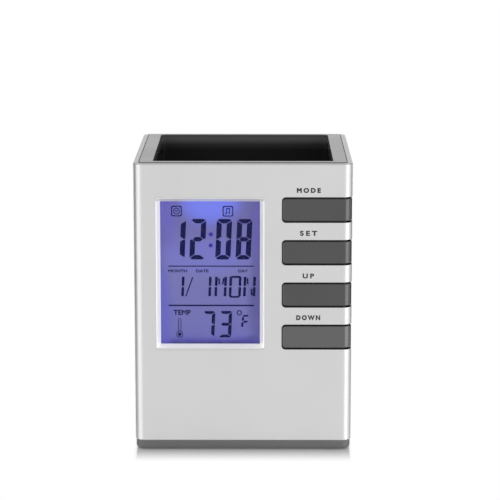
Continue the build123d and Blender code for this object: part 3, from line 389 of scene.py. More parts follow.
# A flat ring. Its outline is a circle where square is 2, and squarer above that.
def addRing(bm, middle, outer, inner, front, back, steps=40, square=2.0):
    def curve(radius, depth):
        points = []
        for i in range(steps):
            angle = 2 * math.pi * i / steps
            across, up = math.cos(angle), math.sin(angle)
            x = middle[0] + math.copysign(abs(across) ** (2 / square), across) * radius
            z = middle[1] + math.copysign(abs(up) ** (2 / square), up) * radius
            points.append(bm.verts.new((x * mm, depth * mm, z * mm)))
        return points
    outerFront, outerBack = curve(outer, front), curve(outer, back)
    innerFront, innerBack = curve(inner, front), curve(inner, back)
    for i in range(steps):
        j = (i + 1) % steps
        bm.faces.new((innerFront[i], outerFront[i], outerFront[j], innerFront[j]))
        bm.faces.new((innerBack[j], outerBack[j], outerBack[i], innerBack[i]))
        bm.faces.new((outerFront[i], outerBack[i], outerBack[j], outerFront[j]))
        bm.faces.new((innerFront[j], innerBack[j], innerBack[i], innerFront[i]))


def disc(middle, radius, steps=24):
    angles = [2 * math.pi * i / steps for i in range(steps)]
    return [(middle[0] + radius * math.cos(a), middle[1] + radius * math.sin(a)) for a in angles]


def rectangle(left, top, right, bottom):
    return [(left, bottom), (right, bottom), (right, top), (left, top)]


def addObject(name, data):
    item = bpy.data.objects.new(name, data)
    bpy.context.scene.collection.objects.link(item)
    return item


def evaluatedMesh(item):
    return bpy.data.meshes.new_from_object(item.evaluated_get(bpy.context.evaluated_depsgraph_get()))


# Words fitted into the box from (left, top) to (right, bottom), upright in the front plane.
def addWords(bm, words, box, front, back, bold, spacing=1.0):
    left, top, right, bottom = box
    curve = bpy.data.curves.new("words", "FONT")
    curve.body, curve.space_character = words, spacing
    curve.resolution_u = 6
    curve.extrude = 0.5  # any depth, which front and back replace below
    holder = addObject("words", curve)
    bpy.context.view_layer.update()
    mesh = evaluatedMesh(holder)
    bpy.data.objects.remove(holder)
    letters = bmesh.new()
    letters.from_mesh(mesh)
    bmesh.ops.remove_doubles(letters, verts=letters.verts, dist=1e-5)
    bmesh.ops.recalc_face_normals(letters, faces=letters.faces)
    sharpest = 0.6  # a sharper corner moves no further than one of this cosine
    moves = {}
    for v in letters.verts:  # every outline moves outwards by the same amount
        sides = [f.normal for f in v.link_faces if abs(f.normal.z) < 0.5]
        out = sum(sides, Vector()).normalized()
        moves[v] = out * bold / max(sharpest, min((out.dot(n) for n in sides), default=1.0))
    for v, move in moves.items():
        v.co += move
    acrosses = [v.co.x for v in letters.verts]
    heights = [v.co.y for v in letters.verts]
    lowX, lowZ = min(acrosses), min(heights)
    scaleX, scaleZ = (right - left) / (max(acrosses) - lowX), (top - bottom) / (max(heights) - lowZ)
    for v in letters.verts:
        x, z = left + (v.co.x - lowX) * scaleX, bottom + (v.co.y - lowZ) * scaleZ
        v.co = Vector((x * mm, (front if v.co.z > 0 else back) * mm, z * mm))
    letters.to_mesh(mesh)
    letters.free()
    bm.from_mesh(mesh)
    bpy.data.meshes.remove(mesh)


def addPiece(name, mesh, body):
    piece = addObject(name, mesh)
    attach(piece, body)


def finishPiece(name, bm, material, body):
    for face in bm.faces:
        face.smooth = False
    mesh = bpy.data.meshes.new(name)
    bm.to_mesh(mesh)
    bm.free()
    mesh.materials.append(material)
    addPiece(name, mesh, body)


# A small geometry tree that sets one shape on every point it is given, with its sizes as named inputs.
# makeShape gives the instance, and its rotation or scale where it has one.
def repeatTree(name, sizes, makeShape):
    tree = bpy.data.node_groups.new(name, "GeometryNodeTree")
    tree.interface.new_socket("Points", in_out="INPUT", socket_type="NodeSocketGeometry")
    for label, value in sizes.items():
        size = tree.interface.new_socket(label, in_out="INPUT", socket_type="NodeSocketFloat")
        size.default_value = value
    tree.interface.new_socket("Finish", in_out="INPUT", socket_type="NodeSocketMaterial")
    tree.interface.new_socket("Geometry", in_out="OUTPUT", socket_type="NodeSocketGeometry")
    given = tree.nodes.new("NodeGroupInput").outputs
    inputs = {"Points": given["Points"], **makeShape(tree, given)}
    placed = addNode(tree, "GeometryNodeInstanceOnPoints", inputs).outputs["Instances"]
    real = addNode(tree, "GeometryNodeRealizeInstances", {"Geometry": placed}).outputs["Geometry"]
    inputs = {"Geometry": real, "Material": given["Finish"]}
    done = addNode(tree, "GeometryNodeSetMaterial", inputs).outputs["Geometry"]
    addNode(tree, "NodeGroupOutput", {"Geometry": done})
    return tree


# Runs such a tree over points given in mm and keeps its result as a plain mesh.
def repeated(name, tree, points, material, body):
    seeds = bpy.data.meshes.new(name + "Points")
    seeds.from_pydata([[value * mm for value in point] for point in points], [], [])
    maker = addObject(name + "Maker", seeds)
    modifier = maker.modifiers.new("repeat", "NODES")
    modifier.node_group = tree
    for item in tree.interface.items_tree:
        if item.in_out == "INPUT" and item.name == "Finish":
            modifier[item.identifier] = material
    made = evaluatedMesh(maker)
    bpy.data.objects.remove(maker)
    made.name = name
    addPiece(name, made, body)
    print(name, len(points), "points,", len(made.polygons), "faces")


def barShape(tree, given):
    size = joined(tree, given["Width"], given["Thickness"], given["Length"])
    return {"Instance": addNode(tree, "GeometryNodeMeshCube", {"Size": size}).outputs["Mesh"]}


# Seven-segment digits. Each stroke is a plate with mitred ends, the whole digit leans a little.
digitStrokes = {"0": "abcdef", "1": "bc", "2": "abged", "3": "abgcd", "7": "abc", "8": "abcdefg"}
digitLook = {
    "lean": math.tan(math.radians(2.6)), "front": -36.17, "back": -36.12,
    "large": (1.85, 1.62, 0.26), "small": (1.2, 1.08, 0.24),  # upright's and bar's thickness, gap
}
displayDepths = digitLook["front"], digitLook["back"]


# The shares in here are of the upright's or bar's thickness, or of the gap between two strokes.
def strokeOutlines(width, height, upright, bar, gap):
    middle, tip, slant = height / 2, height - 0.32 * bar, 0.1 * gap
    left, right = upright + slant, width - upright - slant  # ends of the middle bar's long sides
    top = [
        (0.14 * upright, tip), (0.5 * upright, height), (width - 0.5 * upright, height),
        (width - 0.14 * upright, tip), (right - slant, height - bar), (left + slant, height - bar),
    ]
    side = [
        (0, tip - gap), (0.06 * upright, tip - 0.9 * gap), (upright, height - bar - gap),
        (upright, middle + 0.5 * bar + 0.4 * gap), (0.4 * upright, middle + 0.6 * gap),
        (0, middle + 0.5 * gap),
    ]
    across = [
        (0.5 * upright, middle), (left, middle + 0.5 * bar), (right, middle + 0.5 * bar),
        (width - 0.5 * upright, middle), (right, middle - 0.5 * bar), (left, middle - 0.5 * bar),
    ]
    strokes = {  # outline, and whether it goes over to the right and to the lower half
        "a": (top, False, False), "d": (top, False, True), "g": (across, False, False),
        "f": (side, False, False), "e": (side, False, True),
        "b": (side, True, False), "c": (side, True, True),
    }
    outlines = {}
    for stroke, (points, toRight, toLow) in strokes.items():
        outlines[stroke] = [(width - x if toRight else x, height - z if toLow else z) for x, z in points]
    return outlines


def leaning(outline, left, bottom):
    return [(left + x + z * digitLook["lean"], bottom + z) for x, z in outline]


def addDigit(bm, figure, box, style):
    left, top, right, bottom = box
    height = top - bottom
    outlines = strokeOutlines(right - left - height * digitLook["lean"], height, *style)
    for stroke in digitStrokes[figure]:
        addPlate(bm, leaning(outlines[stroke], left, bottom), *displayDepths)


displayLayout = {  # left, top, right, bottom in mm in the plane of the display
    "time": [
        ("1", (-26.33, 84.55, -20.2, 69.85)), ("2", (-19.21, 84.55, -13.0, 69.85)),
        ("0", (-9.95, 84.55, -3.82, 69.85)), ("8", (-2.68, 84.55, 3.4, 69.85)),
    ],
    "degrees": [("7", (-14.6, 50.95, -9.9, 41.15)), ("3", (-8.7, 51.0, -3.85, 41.25))],
    "rules": [(-26.72, 67.6, 4.0, 67.2), (-26.67, 53.3, 4.0, 52.76)],
    "words": [
        ("MONTH", (-26.76, 66.2, -19.96, 65.1)), ("DATE", (-16.84, 66.2, -12.27, 65.1)),
        ("DAY", (-1.67, 66.2, 1.8, 65.1)), ("TEMP", (-24.95, 51.38, -18.75, 49.5)),
    ],
    "bold": 0.033,
    "colon": {"middles": [(-11.43, 78.96), (-11.52, 74.96)], "radius": 0.75},
}
rowLook = {  # the date row, with the letters' inner strokes in mm from its foot
    "top": 63.55, "bottom": 56.4, "slantWidth": 0.58,
    "slants": [  # left, low, high, shift to the right at the top
        (-8.95, 4.325, 6.6, -0.25), (-7.75, 4.325, 6.6, 0.25),
        (1.25, 4.325, 6.6, -0.25), (2.8, 0.4, 2.725, -0.2),
    ],
    "slash": [(-20.75, 56.3), (-20.3, 56.3), (-17.75, 63.4), (-18.2, 63.4)],
    "ovalLeft": -4.85,  # foot and top of the O
    "ovalFoot": [(0.35, -0.55), (3.35, -0.55), (3.75, 0.1), (-0.05, 0.1)],
    "ovalTop": [(0.1, 6.7), (3.75, 6.7), (3.45, 7.45), (0.4, 7.45)],
}
signLook = {  # a clock and a beamed note, each in a square frame
    "middles": [(-23.67, 87.38), (-5.34, 87.33)], "frame": (1.92, 1.55), "square": 7.0,
    "clock": (1.2, 0.92),
    "hands": [
        (-23.72, 87.08), (-23.1, 87.66), (-23.28, 87.86), (-23.71, 87.46), (-24.0, 87.74), (-24.18, 87.54),
    ],
    "stems": [(-5.85, 86.55), (-4.75, 86.75)], "stemTop": 88.3, "stemHalf": 0.14,
    "head": 0.28, "headShift": 0.2, "headSteps": 16,
    "beam": [(-5.99, 88.02), (-4.61, 88.17), (-4.61, 88.55), (-5.99, 88.4)],
}
unitLook = {  # ring and F after the degrees, the F in four strokes
    "ring": (0.95, 0.58), "middle": (-1.33, 50.32),
    "posts": [(-0.66, 45.2, 46.8), (-0.42, 47.45, 48.75)], "postWidth": 0.76, "postLean": 0.08,
    "head": [(0.1, 48.85), (1.8, 48.95), (2.0, 49.6), (0.0, 49.5)],
    "bar": [(0.15, 46.72), (1.45, 46.72), (1.8, 47.4), (0.25, 47.4)],
}
thermometerLook = {
    "left": -23.33, "right": -22.17, "top": 48.34, "foot": 43.4, "line": 0.25, "cap": 0.3, "capLow": 0.2,
    "bulb": (-22.79, 42.44), "bulbRing": (1.24, 0.97), "mercury": 0.62,
}


def addDateRow(bm, look):
    width = look["slantWidth"]
    for left, low, high, shift in look["slants"]:
        slant = [(0, low), (width, low), (width + shift, high), (shift, high)]
        addPlate(bm, leaning(slant, left, look["bottom"]), *displayDepths)
    addPlate(bm, look["slash"], *displayDepths)
    for part in ("ovalFoot", "ovalTop"):
        addPlate(bm, leaning(look[part], look["ovalLeft"], look["bottom"]), *displayDepths)


def addSigns(bm, look):
    for middle in look["middles"]:
        addRing(bm, middle, *look["frame"], *displayDepths, square=look["square"])
    addRing(bm, look["middles"][0], *look["clock"], *displayDepths)
    addPlate(bm, look["hands"], *displayDepths)
    for x, foot in look["stems"]:
        addPlate(bm, disc((x - look["headShift"], foot), look["head"], look["headSteps"]), *displayDepths)
        stem = rectangle(x - look["stemHalf"], look["stemTop"], x + look["stemHalf"], foot)
        addPlate(bm, stem, *displayDepths)
    addPlate(bm, look["beam"], *displayDepths)


def addUnit(bm, look):
    addRing(bm, look["middle"], *look["ring"], *displayDepths)
    for left, low, high in look["posts"]:
        right, over = left + look["postWidth"], look["postLean"]
        addPlate(bm, [(left, low), (right, low), (right + over, high), (left + over, high)], *displayDepths)
    addPlate(bm, look["head"], *displayDepths)
    addPlate(bm, look["bar"], *displayDepths)


def addThermometer(bm, look):  # open tube over a bulb
    left, right, top, cap, low = look["left"], look["right"], look["top"], look["cap"], look["capLow"]
    for x in (left, right - look["line"]):
        addPlate(bm, rectangle(x, top - cap, x + look["line"], look["foot"]), *displayDepths)
    roof = [(left + low, top - low), (right - low, top - low), (right - cap, top), (left + cap, top)]
    addPlate(bm, roof, *displayDepths)
    addRing(bm, look["bulb"], *look["bulbRing"], *displayDepths)
    addPlate(bm, disc(look["bulb"], look["mercury"]), *displayDepths)


def displayPicture(layout):
    bm = bmesh.new()
    for figures, style in (("time", "large"), ("degrees", "small")):
        for figure, box in layout[figures]:
            addDigit(bm, figure, box, digitLook[style])
    for rule in layout["rules"]:
        addPlate(bm, rectangle(*rule), *displayDepths)
    for words, box in layout["words"]:
        addWords(bm, words, box, *displayDepths, layout["bold"])
    addDateRow(bm, rowLook)
    addSigns(bm, signLook)
    addUnit(bm, unitLook)
    addThermometer(bm, thermometerLook)
    return bm


inkLook = {
    "dark": (8, 11, 64), "light": (12, 15, 76), "drift": 8, "grain": 0.2, "rough": (0.5, 0.6),
    "bump": 0.05, "depth": 0.005, "gloss": 0.1,
}
displayInk = surface("displayInk", inkLook)
finishPiece("displayPicture", displayPicture(displayLayout), displayInk, "case")

# posts of the date row: two figures 1, then the letters, each post in a lower and an upper stroke
postLook = {
    "lefts": (-22.15, -12.45, -10.27, -6.95, -5.12, -1.75, 0.0, 3.42),
    "width": 0.94, "length": 3.32, "split": 0.45,
}


def postShape(tree, given):
    turn = addNode(tree, "FunctionNodeEulerToRotation", {0: joined(tree, y=given["Lean"])}).outputs[0]
    return {**barShape(tree, given), "Rotation": turn}


def postMiddles(look, row):
    front, back = displayDepths
    points = []
    for left in look["lefts"]:
        for side in (-1, 1):
            height = (row["top"] - row["bottom"] + side * (look["length"] + look["split"])) / 2
            across = left + look["width"] / 2 + height * digitLook["lean"]
            points.append((across, (front + back) / 2, row["bottom"] + height))
    return points


postSizes = {
    "Width": postLook["width"] * mm, "Length": postLook["length"] * mm,
    "Thickness": (digitLook["back"] - digitLook["front"]) * mm, "Lean": math.atan(digitLook["lean"]),
}
postTree = repeatTree("dateStrokes", postSizes, postShape)
repeated("datePosts", postTree, postMiddles(postLook, rowLook), displayInk, "case")

colonLook = {**inkLook, "dark": (48, 44, 150), "light": (58, 52, 166), "drift": 3}
colon = bmesh.new()
for middle in displayLayout["colon"]["middles"]:
    addPlate(colon, disc(middle, displayLayout["colon"]["radius"]), *displayDepths)
finishPiece("displayColon", colon, surface("colonInk", colonLook), "case")
print("display drawn")

# a bead of lacquer closes the gap between the frame and its window, left, right and above
beadLook = {
    "left": -31.0, "right": 7.6, "top": 92.65, "bottom": 37.9, "gap": 0.11,
    "front": -38.98, "back": -38.85,
}


def frameBead(look):
    left, right, top, bottom, gap = (look[key] for key in ("left", "right", "top", "bottom", "gap"))
    bm = bmesh.new()
    farLeft, farRight, farTop = left - gap, right + gap, top + gap
    outside = [(farLeft, bottom), (farLeft, farTop), (farRight, farTop), (farRight, bottom)]
    inside = [(right, bottom), (right, top), (left, top), (left, bottom)]
    addPlate(bm, outside + inside, look["front"], look["back"])
    return bm


finishPiece("frameBead", frameBead(beadLook), silverLacquer, "case")


# words over the keys, printed on the sleeve

labelLook = {
    "words": [  # with their boxes and how bold they are
        ("MODE", (19.1, 96.2, 27.6, 94.4), 0.06), ("SET", (20.25, 80.8, 26.45, 78.95), 0.042),
        ("UP", (21.3, 65.3, 25.4, 63.5), 0.042), ("DOWN", (19.05, 50.1, 27.65, 48.25), 0.068),
    ],
    "proud": 0.02, "sunk": 0.01, "spacing": 1.5,
}
labelInk = {
    "dark": (12, 12, 12), "light": (22, 22, 22), "drift": 1.5, "speck": 0.5, "rough": (0.5, 0.62),
    "bump": 0.2, "depth": 0.005,
}
labels = bmesh.new()
labelDepths = -sleeveHalf - labelLook["proud"], -sleeveHalf + labelLook["sunk"]
for words, box, bold in labelLook["words"]:
    addWords(labels, words, box, *labelDepths, bold, labelLook["spacing"])
finishPiece("keyWords", labels, surface("printInk", labelInk), "case")
print("words printed")


# inner parts

innerLooks = {
    "lcd_front_glass": {
        "dark": (150, 165, 160), "light": (172, 186, 180), "drift": 8, "grain": 0.4, "speck": 0.2,
        "rough": (0.05, 0.1), "bump": 0.02},
    "lcd_rear_glass": {
        "dark": (142, 158, 152), "light": (164, 178, 172), "drift": 8, "grain": 0.4, "speck": 0.2,
        "rough": (0.05, 0.1), "bump": 0.02},
    "lcd_rear_film": {
        "dark": (122, 126, 128), "light": (136, 140, 142), "drift": 6, "grain": 0.2, "speck": 0.3,
        "rough": (0.3, 0.4), "bump": 0.05},
    "backlight_lamps": {
        "dark": (232, 228, 206), "light": (244, 240, 222), "drift": 1, "speck": 0.3,
        "rough": (0.25, 0.4), "bump": 0.1},
    "lcd_holder": {
        "dark": (214, 214, 210), "light": (226, 226, 222), "drift": 10, "grain": 0.25,
        "rough": (0.4, 0.5), "bump": 0.2, "depth": 0.02},
    "board_screws": {
        "dark": (168, 168, 166), "light": (190, 190, 188), "drift": 1, "grain": 0.08,
        "rough": (0.25, 0.4), "metal": 1.0},
    "chip_resin": {
        "dark": (12, 12, 13), "light": (22, 22, 23), "drift": 3, "grain": 0.4, "speck": 0.3,
        "rough": (0.18, 0.3), "depth": 0.04},
    "clock_crystal": {
        "dark": (186, 186, 182), "light": (204, 204, 200), "drift": 1, "grain": 0.08,
        "rough": (0.2, 0.32), "bump": 0.1, "metal": 1.0},
    "capacitors": {
        "dark": (166, 134, 96), "light": (190, 156, 114), "drift": 0.6, "grain": 0.08,
        "rough": (0.5, 0.6), "bump": 0.2},
    "lamp_transistors": {
        "dark": (20, 20, 21), "light": (30, 30, 31), "drift": 1, "grain": 0.08,
        "rough": (0.45, 0.55), "bump": 0.25},
    "key_guide": {
        "dark": (40, 40, 42), "light": (50, 50, 52), "drift": 8, "grain": 0.25,
        "rough": (0.45, 0.55), "bump": 0.25, "depth": 0.02},
    "switch_housings": {
        "dark": (22, 22, 23), "light": (31, 31, 32), "grain": 0.12, "rough": (0.4, 0.5), "bump": 0.2},
    "buzzer_disc": {
        "dark": (184, 148, 76), "light": (206, 170, 94), "drift": 3, "rough": (0.26, 0.4),
        "bump": 0.12, "metal": 1.0},
    "buzzer_ceramic": {
        "dark": (206, 205, 198), "light": (222, 221, 214), "rough": (0.35, 0.5), "bump": 0.2},
    "sensor_bead": {
        "dark": (28, 24, 22), "light": (40, 35, 32), "drift": 0.8, "speck": 0.3, "rough": (0.2, 0.3)},
    "negative_wire": {
        "dark": (22, 22, 23), "light": (32, 32, 33), "drift": 4, "grain": 0.15, "bump": 0.12},
    "positive_wire": {
        "dark": (158, 22, 18), "light": (182, 32, 26), "drift": 4, "grain": 0.15, "bump": 0.12},
    "buzzer_wires": {
        "dark": (32, 66, 132), "light": (42, 80, 152), "drift": 4, "grain": 0.12, "bump": 0.12},
    "sensor_wires": {
        "dark": (172, 170, 164), "light": (194, 192, 186), "grain": 0.08, "rough": (0.3, 0.4),
        "bump": 0.1, "metal": 0.8},
    "case_screws": {
        "dark": (150, 150, 150), "light": (176, 176, 175), "drift": 1.5, "rough": (0.28, 0.42),
        "bump": 0.2, "metal": 1.0},
}
for name, look in innerLooks.items():
    dress(name, surface(name + "Finish", look))

stemLook = {"dark": (196, 176, 78), "light": (210, 190, 92), "drift": 1.5}
dress([key + "_switch_stem" for key in keyNames], surface("stemFinish", stemLook))

contactLook = {
    "dark": (186, 186, 182), "light": (208, 208, 204), "drift": 2.5, "speck": 0.35,
    "rough": (0.2, 0.36), "bump": 0.12, "metal": 1.0,
}
contactNames = [end + "_contact" for end in ("negative", "positive", "bridge")]
springNames = [end + "_contact_spring" for end in ("front", "back")]
dress(contactNames + springNames, surface("nickelStrip", contactLook))

# cells: plain jacket with a pale band at the plus end, bare metal at both ends
cellLook = {
    "dark": (36, 74, 88), "light": (44, 84, 100), "drift": 12, "grain": 0.15, "speck": 0.3,
    "rough": (0.22, 0.3), "bump": 0.05,
    "band": (206, 206, 200), "bandShare": 0.2, "line": (24, 30, 34), "lineShare": 0.008,
    "bare": (176, 176, 172), "bareShare": 0.012, "nub": 1.0,  # length of the plus end's nub in mm
}


def cellJacket(name, look, plusEnd, minusEnd):  # ends of the jacket along X, in mm
    material = surface(name, look)
    tree, shader, place = opened(material)
    share = shareOf(tree, partsOf(tree, place)["X"], plusEnd, minusEnd)
    band = calc(tree, "LESS_THAN", share, look["bandShare"])
    line = calc(tree, "COMPARE", share, look["bandShare"], look["lineShare"])
    plus = calc(tree, "LESS_THAN", share, look["bareShare"])
    ends = calc(tree, "ADD", plus, calc(tree, "GREATER_THAN", share, 1 - look["bareShare"]))
    for part, colour in ((band, look["band"]), (line, look["line"]), (ends, look["bare"])):
        layColour(tree, shader, part, linear(colour))
    tree.links.new(ends, shader.inputs["Metallic"])
    return material


low, high = (corner.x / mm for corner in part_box("front_cell"))
dress("front_cell", cellJacket("frontJacket", cellLook, high - cellLook["nub"], low))
low, high = (corner.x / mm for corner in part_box("back_cell"))
dress("back_cell", cellJacket("backJacket", cellLook, low + cellLook["nub"], high))

# board: solder mask over tracks, which show as slightly lighter lines
boardLook = {
    "dark": (16, 78, 44), "light": (24, 94, 54), "drift": 5, "grain": 0.2, "speck": 0.3,
    "rough": (0.3, 0.42), "bump": 0.12, "depth": 0.02,
    "track": (50, 132, 82), "pitch": 3.6, "row": 1.3, "width": 0.05, "soft": 0.1,
    "shift": 0.37, "every": 3, "trackBump": (0.5, 0.03),
}


def boardMask(look):
    material = surface("boardGreen", look)
    tree, shader, place = opened(material)
    parts = partsOf(tree, place)
    inputs = {
        "Vector": joined(tree, parts["X"], parts["Z"]), "Scale": 1 / mm, "Mortar Size": look["width"],
        "Mortar Smooth": look["soft"], "Brick Width": look["pitch"], "Row Height": look["row"],
    }
    rows = addNode(tree, "ShaderNodeTexBrick", inputs, offset=look["shift"], offset_frequency=look["every"])
    tracks = rows.outputs["Fac"]
    layColour(tree, shader, tracks, linear(look["track"]))
    under = shader.inputs["Normal"].links[0].from_socket
    tree.links.new(bumpOf(tree, tracks, *look["trackBump"], under), shader.inputs["Normal"])
    return material


dress("main_board", boardMask(boardLook))

# elastomer strip: thin dark and pale layers across its length
stripLook = {
    "pale": (214, 178, 178), "dark": (44, 40, 42), "pitch": 0.36, "edge": (0.42, 0.58), "rough": (0.6, 0.7),
}


def stripLayers(look):
    material, tree, shader, place = startMaterial("layeredStrip")
    waveTurns = 20 / (2 * math.pi)  # layers that the wave node draws in a unit at scale 1
    inputs = {"Vector": place, "Scale": 1 / (waveTurns * look["pitch"] * mm)}
    wave = addNode(tree, "ShaderNodeTexWave", inputs, wave_type="BANDS", bands_direction="X")
    layers = wave.outputs["Fac"]
    stops = list(zip(look["edge"], (look["dark"], look["pale"])))
    tree.links.new(ramp(tree, layers, stops), shader.inputs["Base Color"])
    tree.links.new(remap(tree, layers, 0.0, 1.0, *look["rough"]), shader.inputs["Roughness"])
    return material


dress("contact_strip", stripLayers(stripLook))

# light guide: milky, with a grid of pale dots that spread the lamps' light
guideLook = {
    "milk": (214, 218, 232), "dot": (246, 247, 250), "pitch": 1.1, "uneven": 0.12,
    "edge": (0.26, 0.34), "rough": (0.22, 0.34), "roughEdge": (0.2, 0.5),
}


def guideDots(look):
    material, tree, shader, place = startMaterial("dottedGuide")
    inputs = {"Vector": place, "Scale": 1 / (look["pitch"] * mm), "Randomness": look["uneven"]}
    dots = addNode(tree, "ShaderNodeTexVoronoi", inputs).outputs["Distance"]
    stops = list(zip(look["edge"], (look["dot"], look["milk"])))
    tree.links.new(ramp(tree, dots, stops), shader.inputs["Base Color"])
    tree.links.new(remap(tree, dots, *look["roughEdge"], *look["rough"]), shader.inputs["Roughness"])
    return material


dress("light_guide", guideDots(guideLook))

# gold fingers on the board under the strip
fingerLook = {"width": 0.34, "height": 2.0, "thick": 0.03, "pitch": 0.72}
goldLook = {
    "dark": (196, 158, 74), "light": (214, 178, 92), "grain": 0.08, "rough": (0.22, 0.34),
    "bump": 0.1, "metal": 1.0,
}


def fingerMiddles(look, strip, board):
    count = int((strip[1].x - strip[0].x) / mm / look["pitch"])
    middle = (strip[0] + strip[1]) / 2 / mm
    depth = board[0].y / mm - look["thick"] / 2
    return [(middle.x + (i - (count - 1) / 2) * look["pitch"], depth, middle.z) for i in range(count)]


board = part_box("main_board")
fingerPoints = fingerMiddles(fingerLook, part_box("contact_strip"), board)
fingerSizes = {
    "Width": fingerLook["width"] * mm, "Thickness": fingerLook["thick"] * mm,
    "Length": fingerLook["height"] * mm,
}
fingerTree = repeatTree("fingerRow", fingerSizes, barShape)
repeated("boardFingers", fingerTree, fingerPoints, surface("boardGold", goldLook), "case")

# solder joints on the board's back, at the four legs of each switch
solderLook = {"radius": 0.55, "rise": 0.45, "legs": 2.3, "segments": 14, "rings": 8}
tinLook = {
    "dark": (188, 188, 186), "light": (206, 206, 204), "drift": 0.6, "grain": 0.06,
    "rough": (0.16, 0.3), "metal": 1.0,
}


def jointShape(tree, given):
    inputs = {
        "Segments": solderLook["segments"], "Rings": solderLook["rings"], "Radius": given["Joint radius"],
    }
    ball = addNode(tree, "GeometryNodeMeshUVSphere", inputs).outputs["Mesh"]
    flat = calc(tree, "DIVIDE", given["Joint rise"], given["Joint radius"])
    return {"Instance": ball, "Scale": joined(tree, 1.0, flat, 1.0)}


def legPoints(look, board):
    sides = (-look["legs"], look["legs"])
    points = []
    for key in keyNames:
        low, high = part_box(key + "_switch_stem")
        middle = (low + high) / 2 / mm
        points += [(middle.x + x, board[1].y / mm, middle.z + z) for x in sides for z in sides]
    return points


solderSizes = {"Joint radius": solderLook["radius"] * mm, "Joint rise": solderLook["rise"] * mm}
solderTree = repeatTree("solderTree", solderSizes, jointShape)
solderTin = surface("solderTin", tinLook)
repeated("solderJoints", solderTree, legPoints(solderLook, board), solderTin, "case")
print("inner parts finished")


# floor, light and camera

white = (1, 1, 1, 1)
floorLook = {
    "size": 6.0, "pale": (240, 240, 240), "mirror": 0.5, "rough": 0.06, "lift": 0.17, "bounce": 0.18,
    "foot": 38.5, "reach": 16.5,  # half the object's foot, and how far its shade goes past that, in mm
    "side": 16.0,  # how many times narrower the shade is at the left and the right
}


def floorMaterial(look):
    material, tree, shader, place = startMaterial("paleFloor")
    tree.nodes.remove(shader)

    def light(strength):
        return addNode(tree, "ShaderNodeEmission", {"Color": white, "Strength": strength}).outputs[0]

    def mixed(share, first, second):
        return addNode(tree, "ShaderNodeMixShader", {0: share, 1: first, 2: second}).outputs[0]

    # far is 0 at the object and 1 past its shade
    away = pastSquare(tree, place, look["foot"] * mm)
    away = vectorCalc(tree, "LENGTH", vectorCalc(tree, "MULTIPLY", away, (look["side"], 1.0, 0.0)))
    near = remap(tree, away, 0.0, look["reach"] * mm, 1.0, 0.0, "SMOOTHSTEP")
    far = calc(tree, "SUBTRACT", 1.0, near)
    rays = addNode(tree, "ShaderNodeLightPath").outputs
    dull = addNode(tree, "ShaderNodeBsdfDiffuse", {"Color": linear(look["pale"])}).outputs[0]
    lift = remap(tree, rays["Is Camera Ray"], 0.0, 1.0, look["bounce"], look["lift"])
    dull = addNode(tree, "ShaderNodeAddShader", {0: dull, 1: light(lift)}).outputs[0]
    gloss = {"Color": white, "Roughness": look["rough"]}
    shiny = addNode(tree, "ShaderNodeBsdfAnisotropic", gloss).outputs[0]
    ground = mixed(rays["Is Camera Ray"], dull, mixed(look["mirror"], dull, shiny))
    above = mixed(calc(tree, "MULTIPLY", rays["Is Camera Ray"], far), ground, light(1.0))
    # away from the object the boxes and cards reach below the floor, and from below it is clear
    beyond = calc(tree, "MULTIPLY", calc(tree, "MAXIMUM", rays["Is Glossy Ray"], rays["Is Shadow Ray"]), far)
    under = addNode(tree, "ShaderNodeNewGeometry").outputs["Backfacing"]
    clear = addNode(tree, "ShaderNodeBsdfTransparent").outputs[0]
    seen = mixed(calc(tree, "MAXIMUM", under, beyond), above, clear)
    tree.links.new(seen, tree.nodes["Material Output"].inputs["Surface"])
    return material


corners = ((-1, -1), (1, -1), (1, 1), (-1, 1))
reach = floorLook["size"]
floorMesh = bpy.data.meshes.new("floor")
floorMesh.from_pydata([(x * reach, y * reach, 0) for x, y in corners], [], [range(4)])
floorMesh.materials.append(floorMaterial(floorLook))
addObject("floor", floorMesh)

worldLook = {"seen": 1.0, "fill": 0.66}  # as the camera, glossy and clear surfaces see it, and as light


def studioWorld(look):
    world = bpy.data.worlds.new("studio")
    world.use_nodes = True
    tree = world.node_tree
    rays = addNode(tree, "ShaderNodeLightPath").outputs
    direct = calc(tree, "MAXIMUM", rays["Is Glossy Ray"], rays["Is Transmission Ray"])
    direct = calc(tree, "MAXIMUM", rays["Is Camera Ray"], direct)
    sky = tree.nodes["Background"]
    sky.inputs["Color"].default_value = white
    tree.links.new(remap(tree, direct, 0.0, 1.0, look["fill"], look["seen"]), sky.inputs["Strength"])
    return world


bpy.context.scene.world = studioWorld(worldLook)

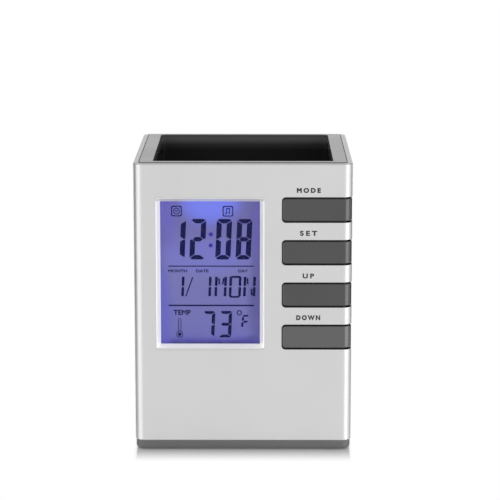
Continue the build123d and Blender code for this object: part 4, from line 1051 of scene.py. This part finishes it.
# angle in degrees from the front to the right, the rest in metres and watts
lampLooks = {
    "rightBox": {"angle": 56, "distance": 0.7, "height": 0.05, "width": 0.48, "tall": 0.8, "power": 2.05},
    "leftBox": {"angle": -53, "distance": 0.7, "height": 0.08, "width": 0.58, "tall": 0.8, "power": 1.5},
    "topBox": {"angle": 0, "distance": 0.12, "height": 0.8, "width": 0.9, "tall": 0.7, "power": 0.4},
}
cardLooks = {  # dark cards that give the sides their edge
    "rightCard": {"angle": 126, "distance": 0.75, "height": 0.15, "width": 0.5, "tall": 0.8},
    "leftCard": {"angle": -112, "distance": 0.75, "height": 0.15, "width": 0.7, "tall": 0.8},
}
cardLook = {"colour": (24, 24, 24), "rough": 0.9}
aimPoint = Vector((0, 0, 0.06))  # about the object's middle, which lamps and cards face


def aimed(look):
    angle, distance = math.radians(look["angle"]), look["distance"]
    place = Vector((math.sin(angle) * distance, -math.cos(angle) * distance, look["height"]))
    return Matrix.Translation(place) @ (aimPoint - place).to_track_quat("-Z", "Y").to_matrix().to_4x4()


for name, look in lampLooks.items():
    lamp = bpy.data.lights.new(name, "AREA")
    lamp.shape, lamp.size, lamp.size_y, lamp.energy = "RECTANGLE", look["width"], look["tall"], look["power"]
    addObject(name, lamp).matrix_world = aimed(look)

cardBlack = bpy.data.materials.new("cardBlack")
cardBlack.use_nodes = True
cardShader = cardBlack.node_tree.nodes["Principled BSDF"]
cardShader.inputs["Base Color"].default_value = linear(cardLook["colour"])
cardShader.inputs["Roughness"].default_value = cardLook["rough"]
for name, look in cardLooks.items():
    card = bpy.data.meshes.new(name)
    card.from_pydata([(x * look["width"] / 2, y * look["tall"] / 2, 0) for x, y in corners], [], [range(4)])
    card.transform(aimed(look))
    card.materials.append(cardBlack)
    holder = addObject(name, card)
    holder.visible_camera = False

cameraLook = {
    "lens": 155.69, "sensor": 36.0, "near": 0.01, "far": 20.0,
    "place": (0.00653, -0.7943, 0.2194), "turn": (math.pi / 2 - 0.1904, 0.0, 0.0053),
}
optics = bpy.data.cameras.new("camera")
optics.lens, optics.sensor_width, optics.sensor_fit = cameraLook["lens"], cameraLook["sensor"], "HORIZONTAL"
optics.clip_start, optics.clip_end = cameraLook["near"], cameraLook["far"]
camera = addObject("camera", optics)
camera.location, camera.rotation_euler = cameraLook["place"], cameraLook["turn"]
bpy.context.scene.camera = camera
bpy.context.scene.view_settings.view_transform = "Standard"

print("scene ready")
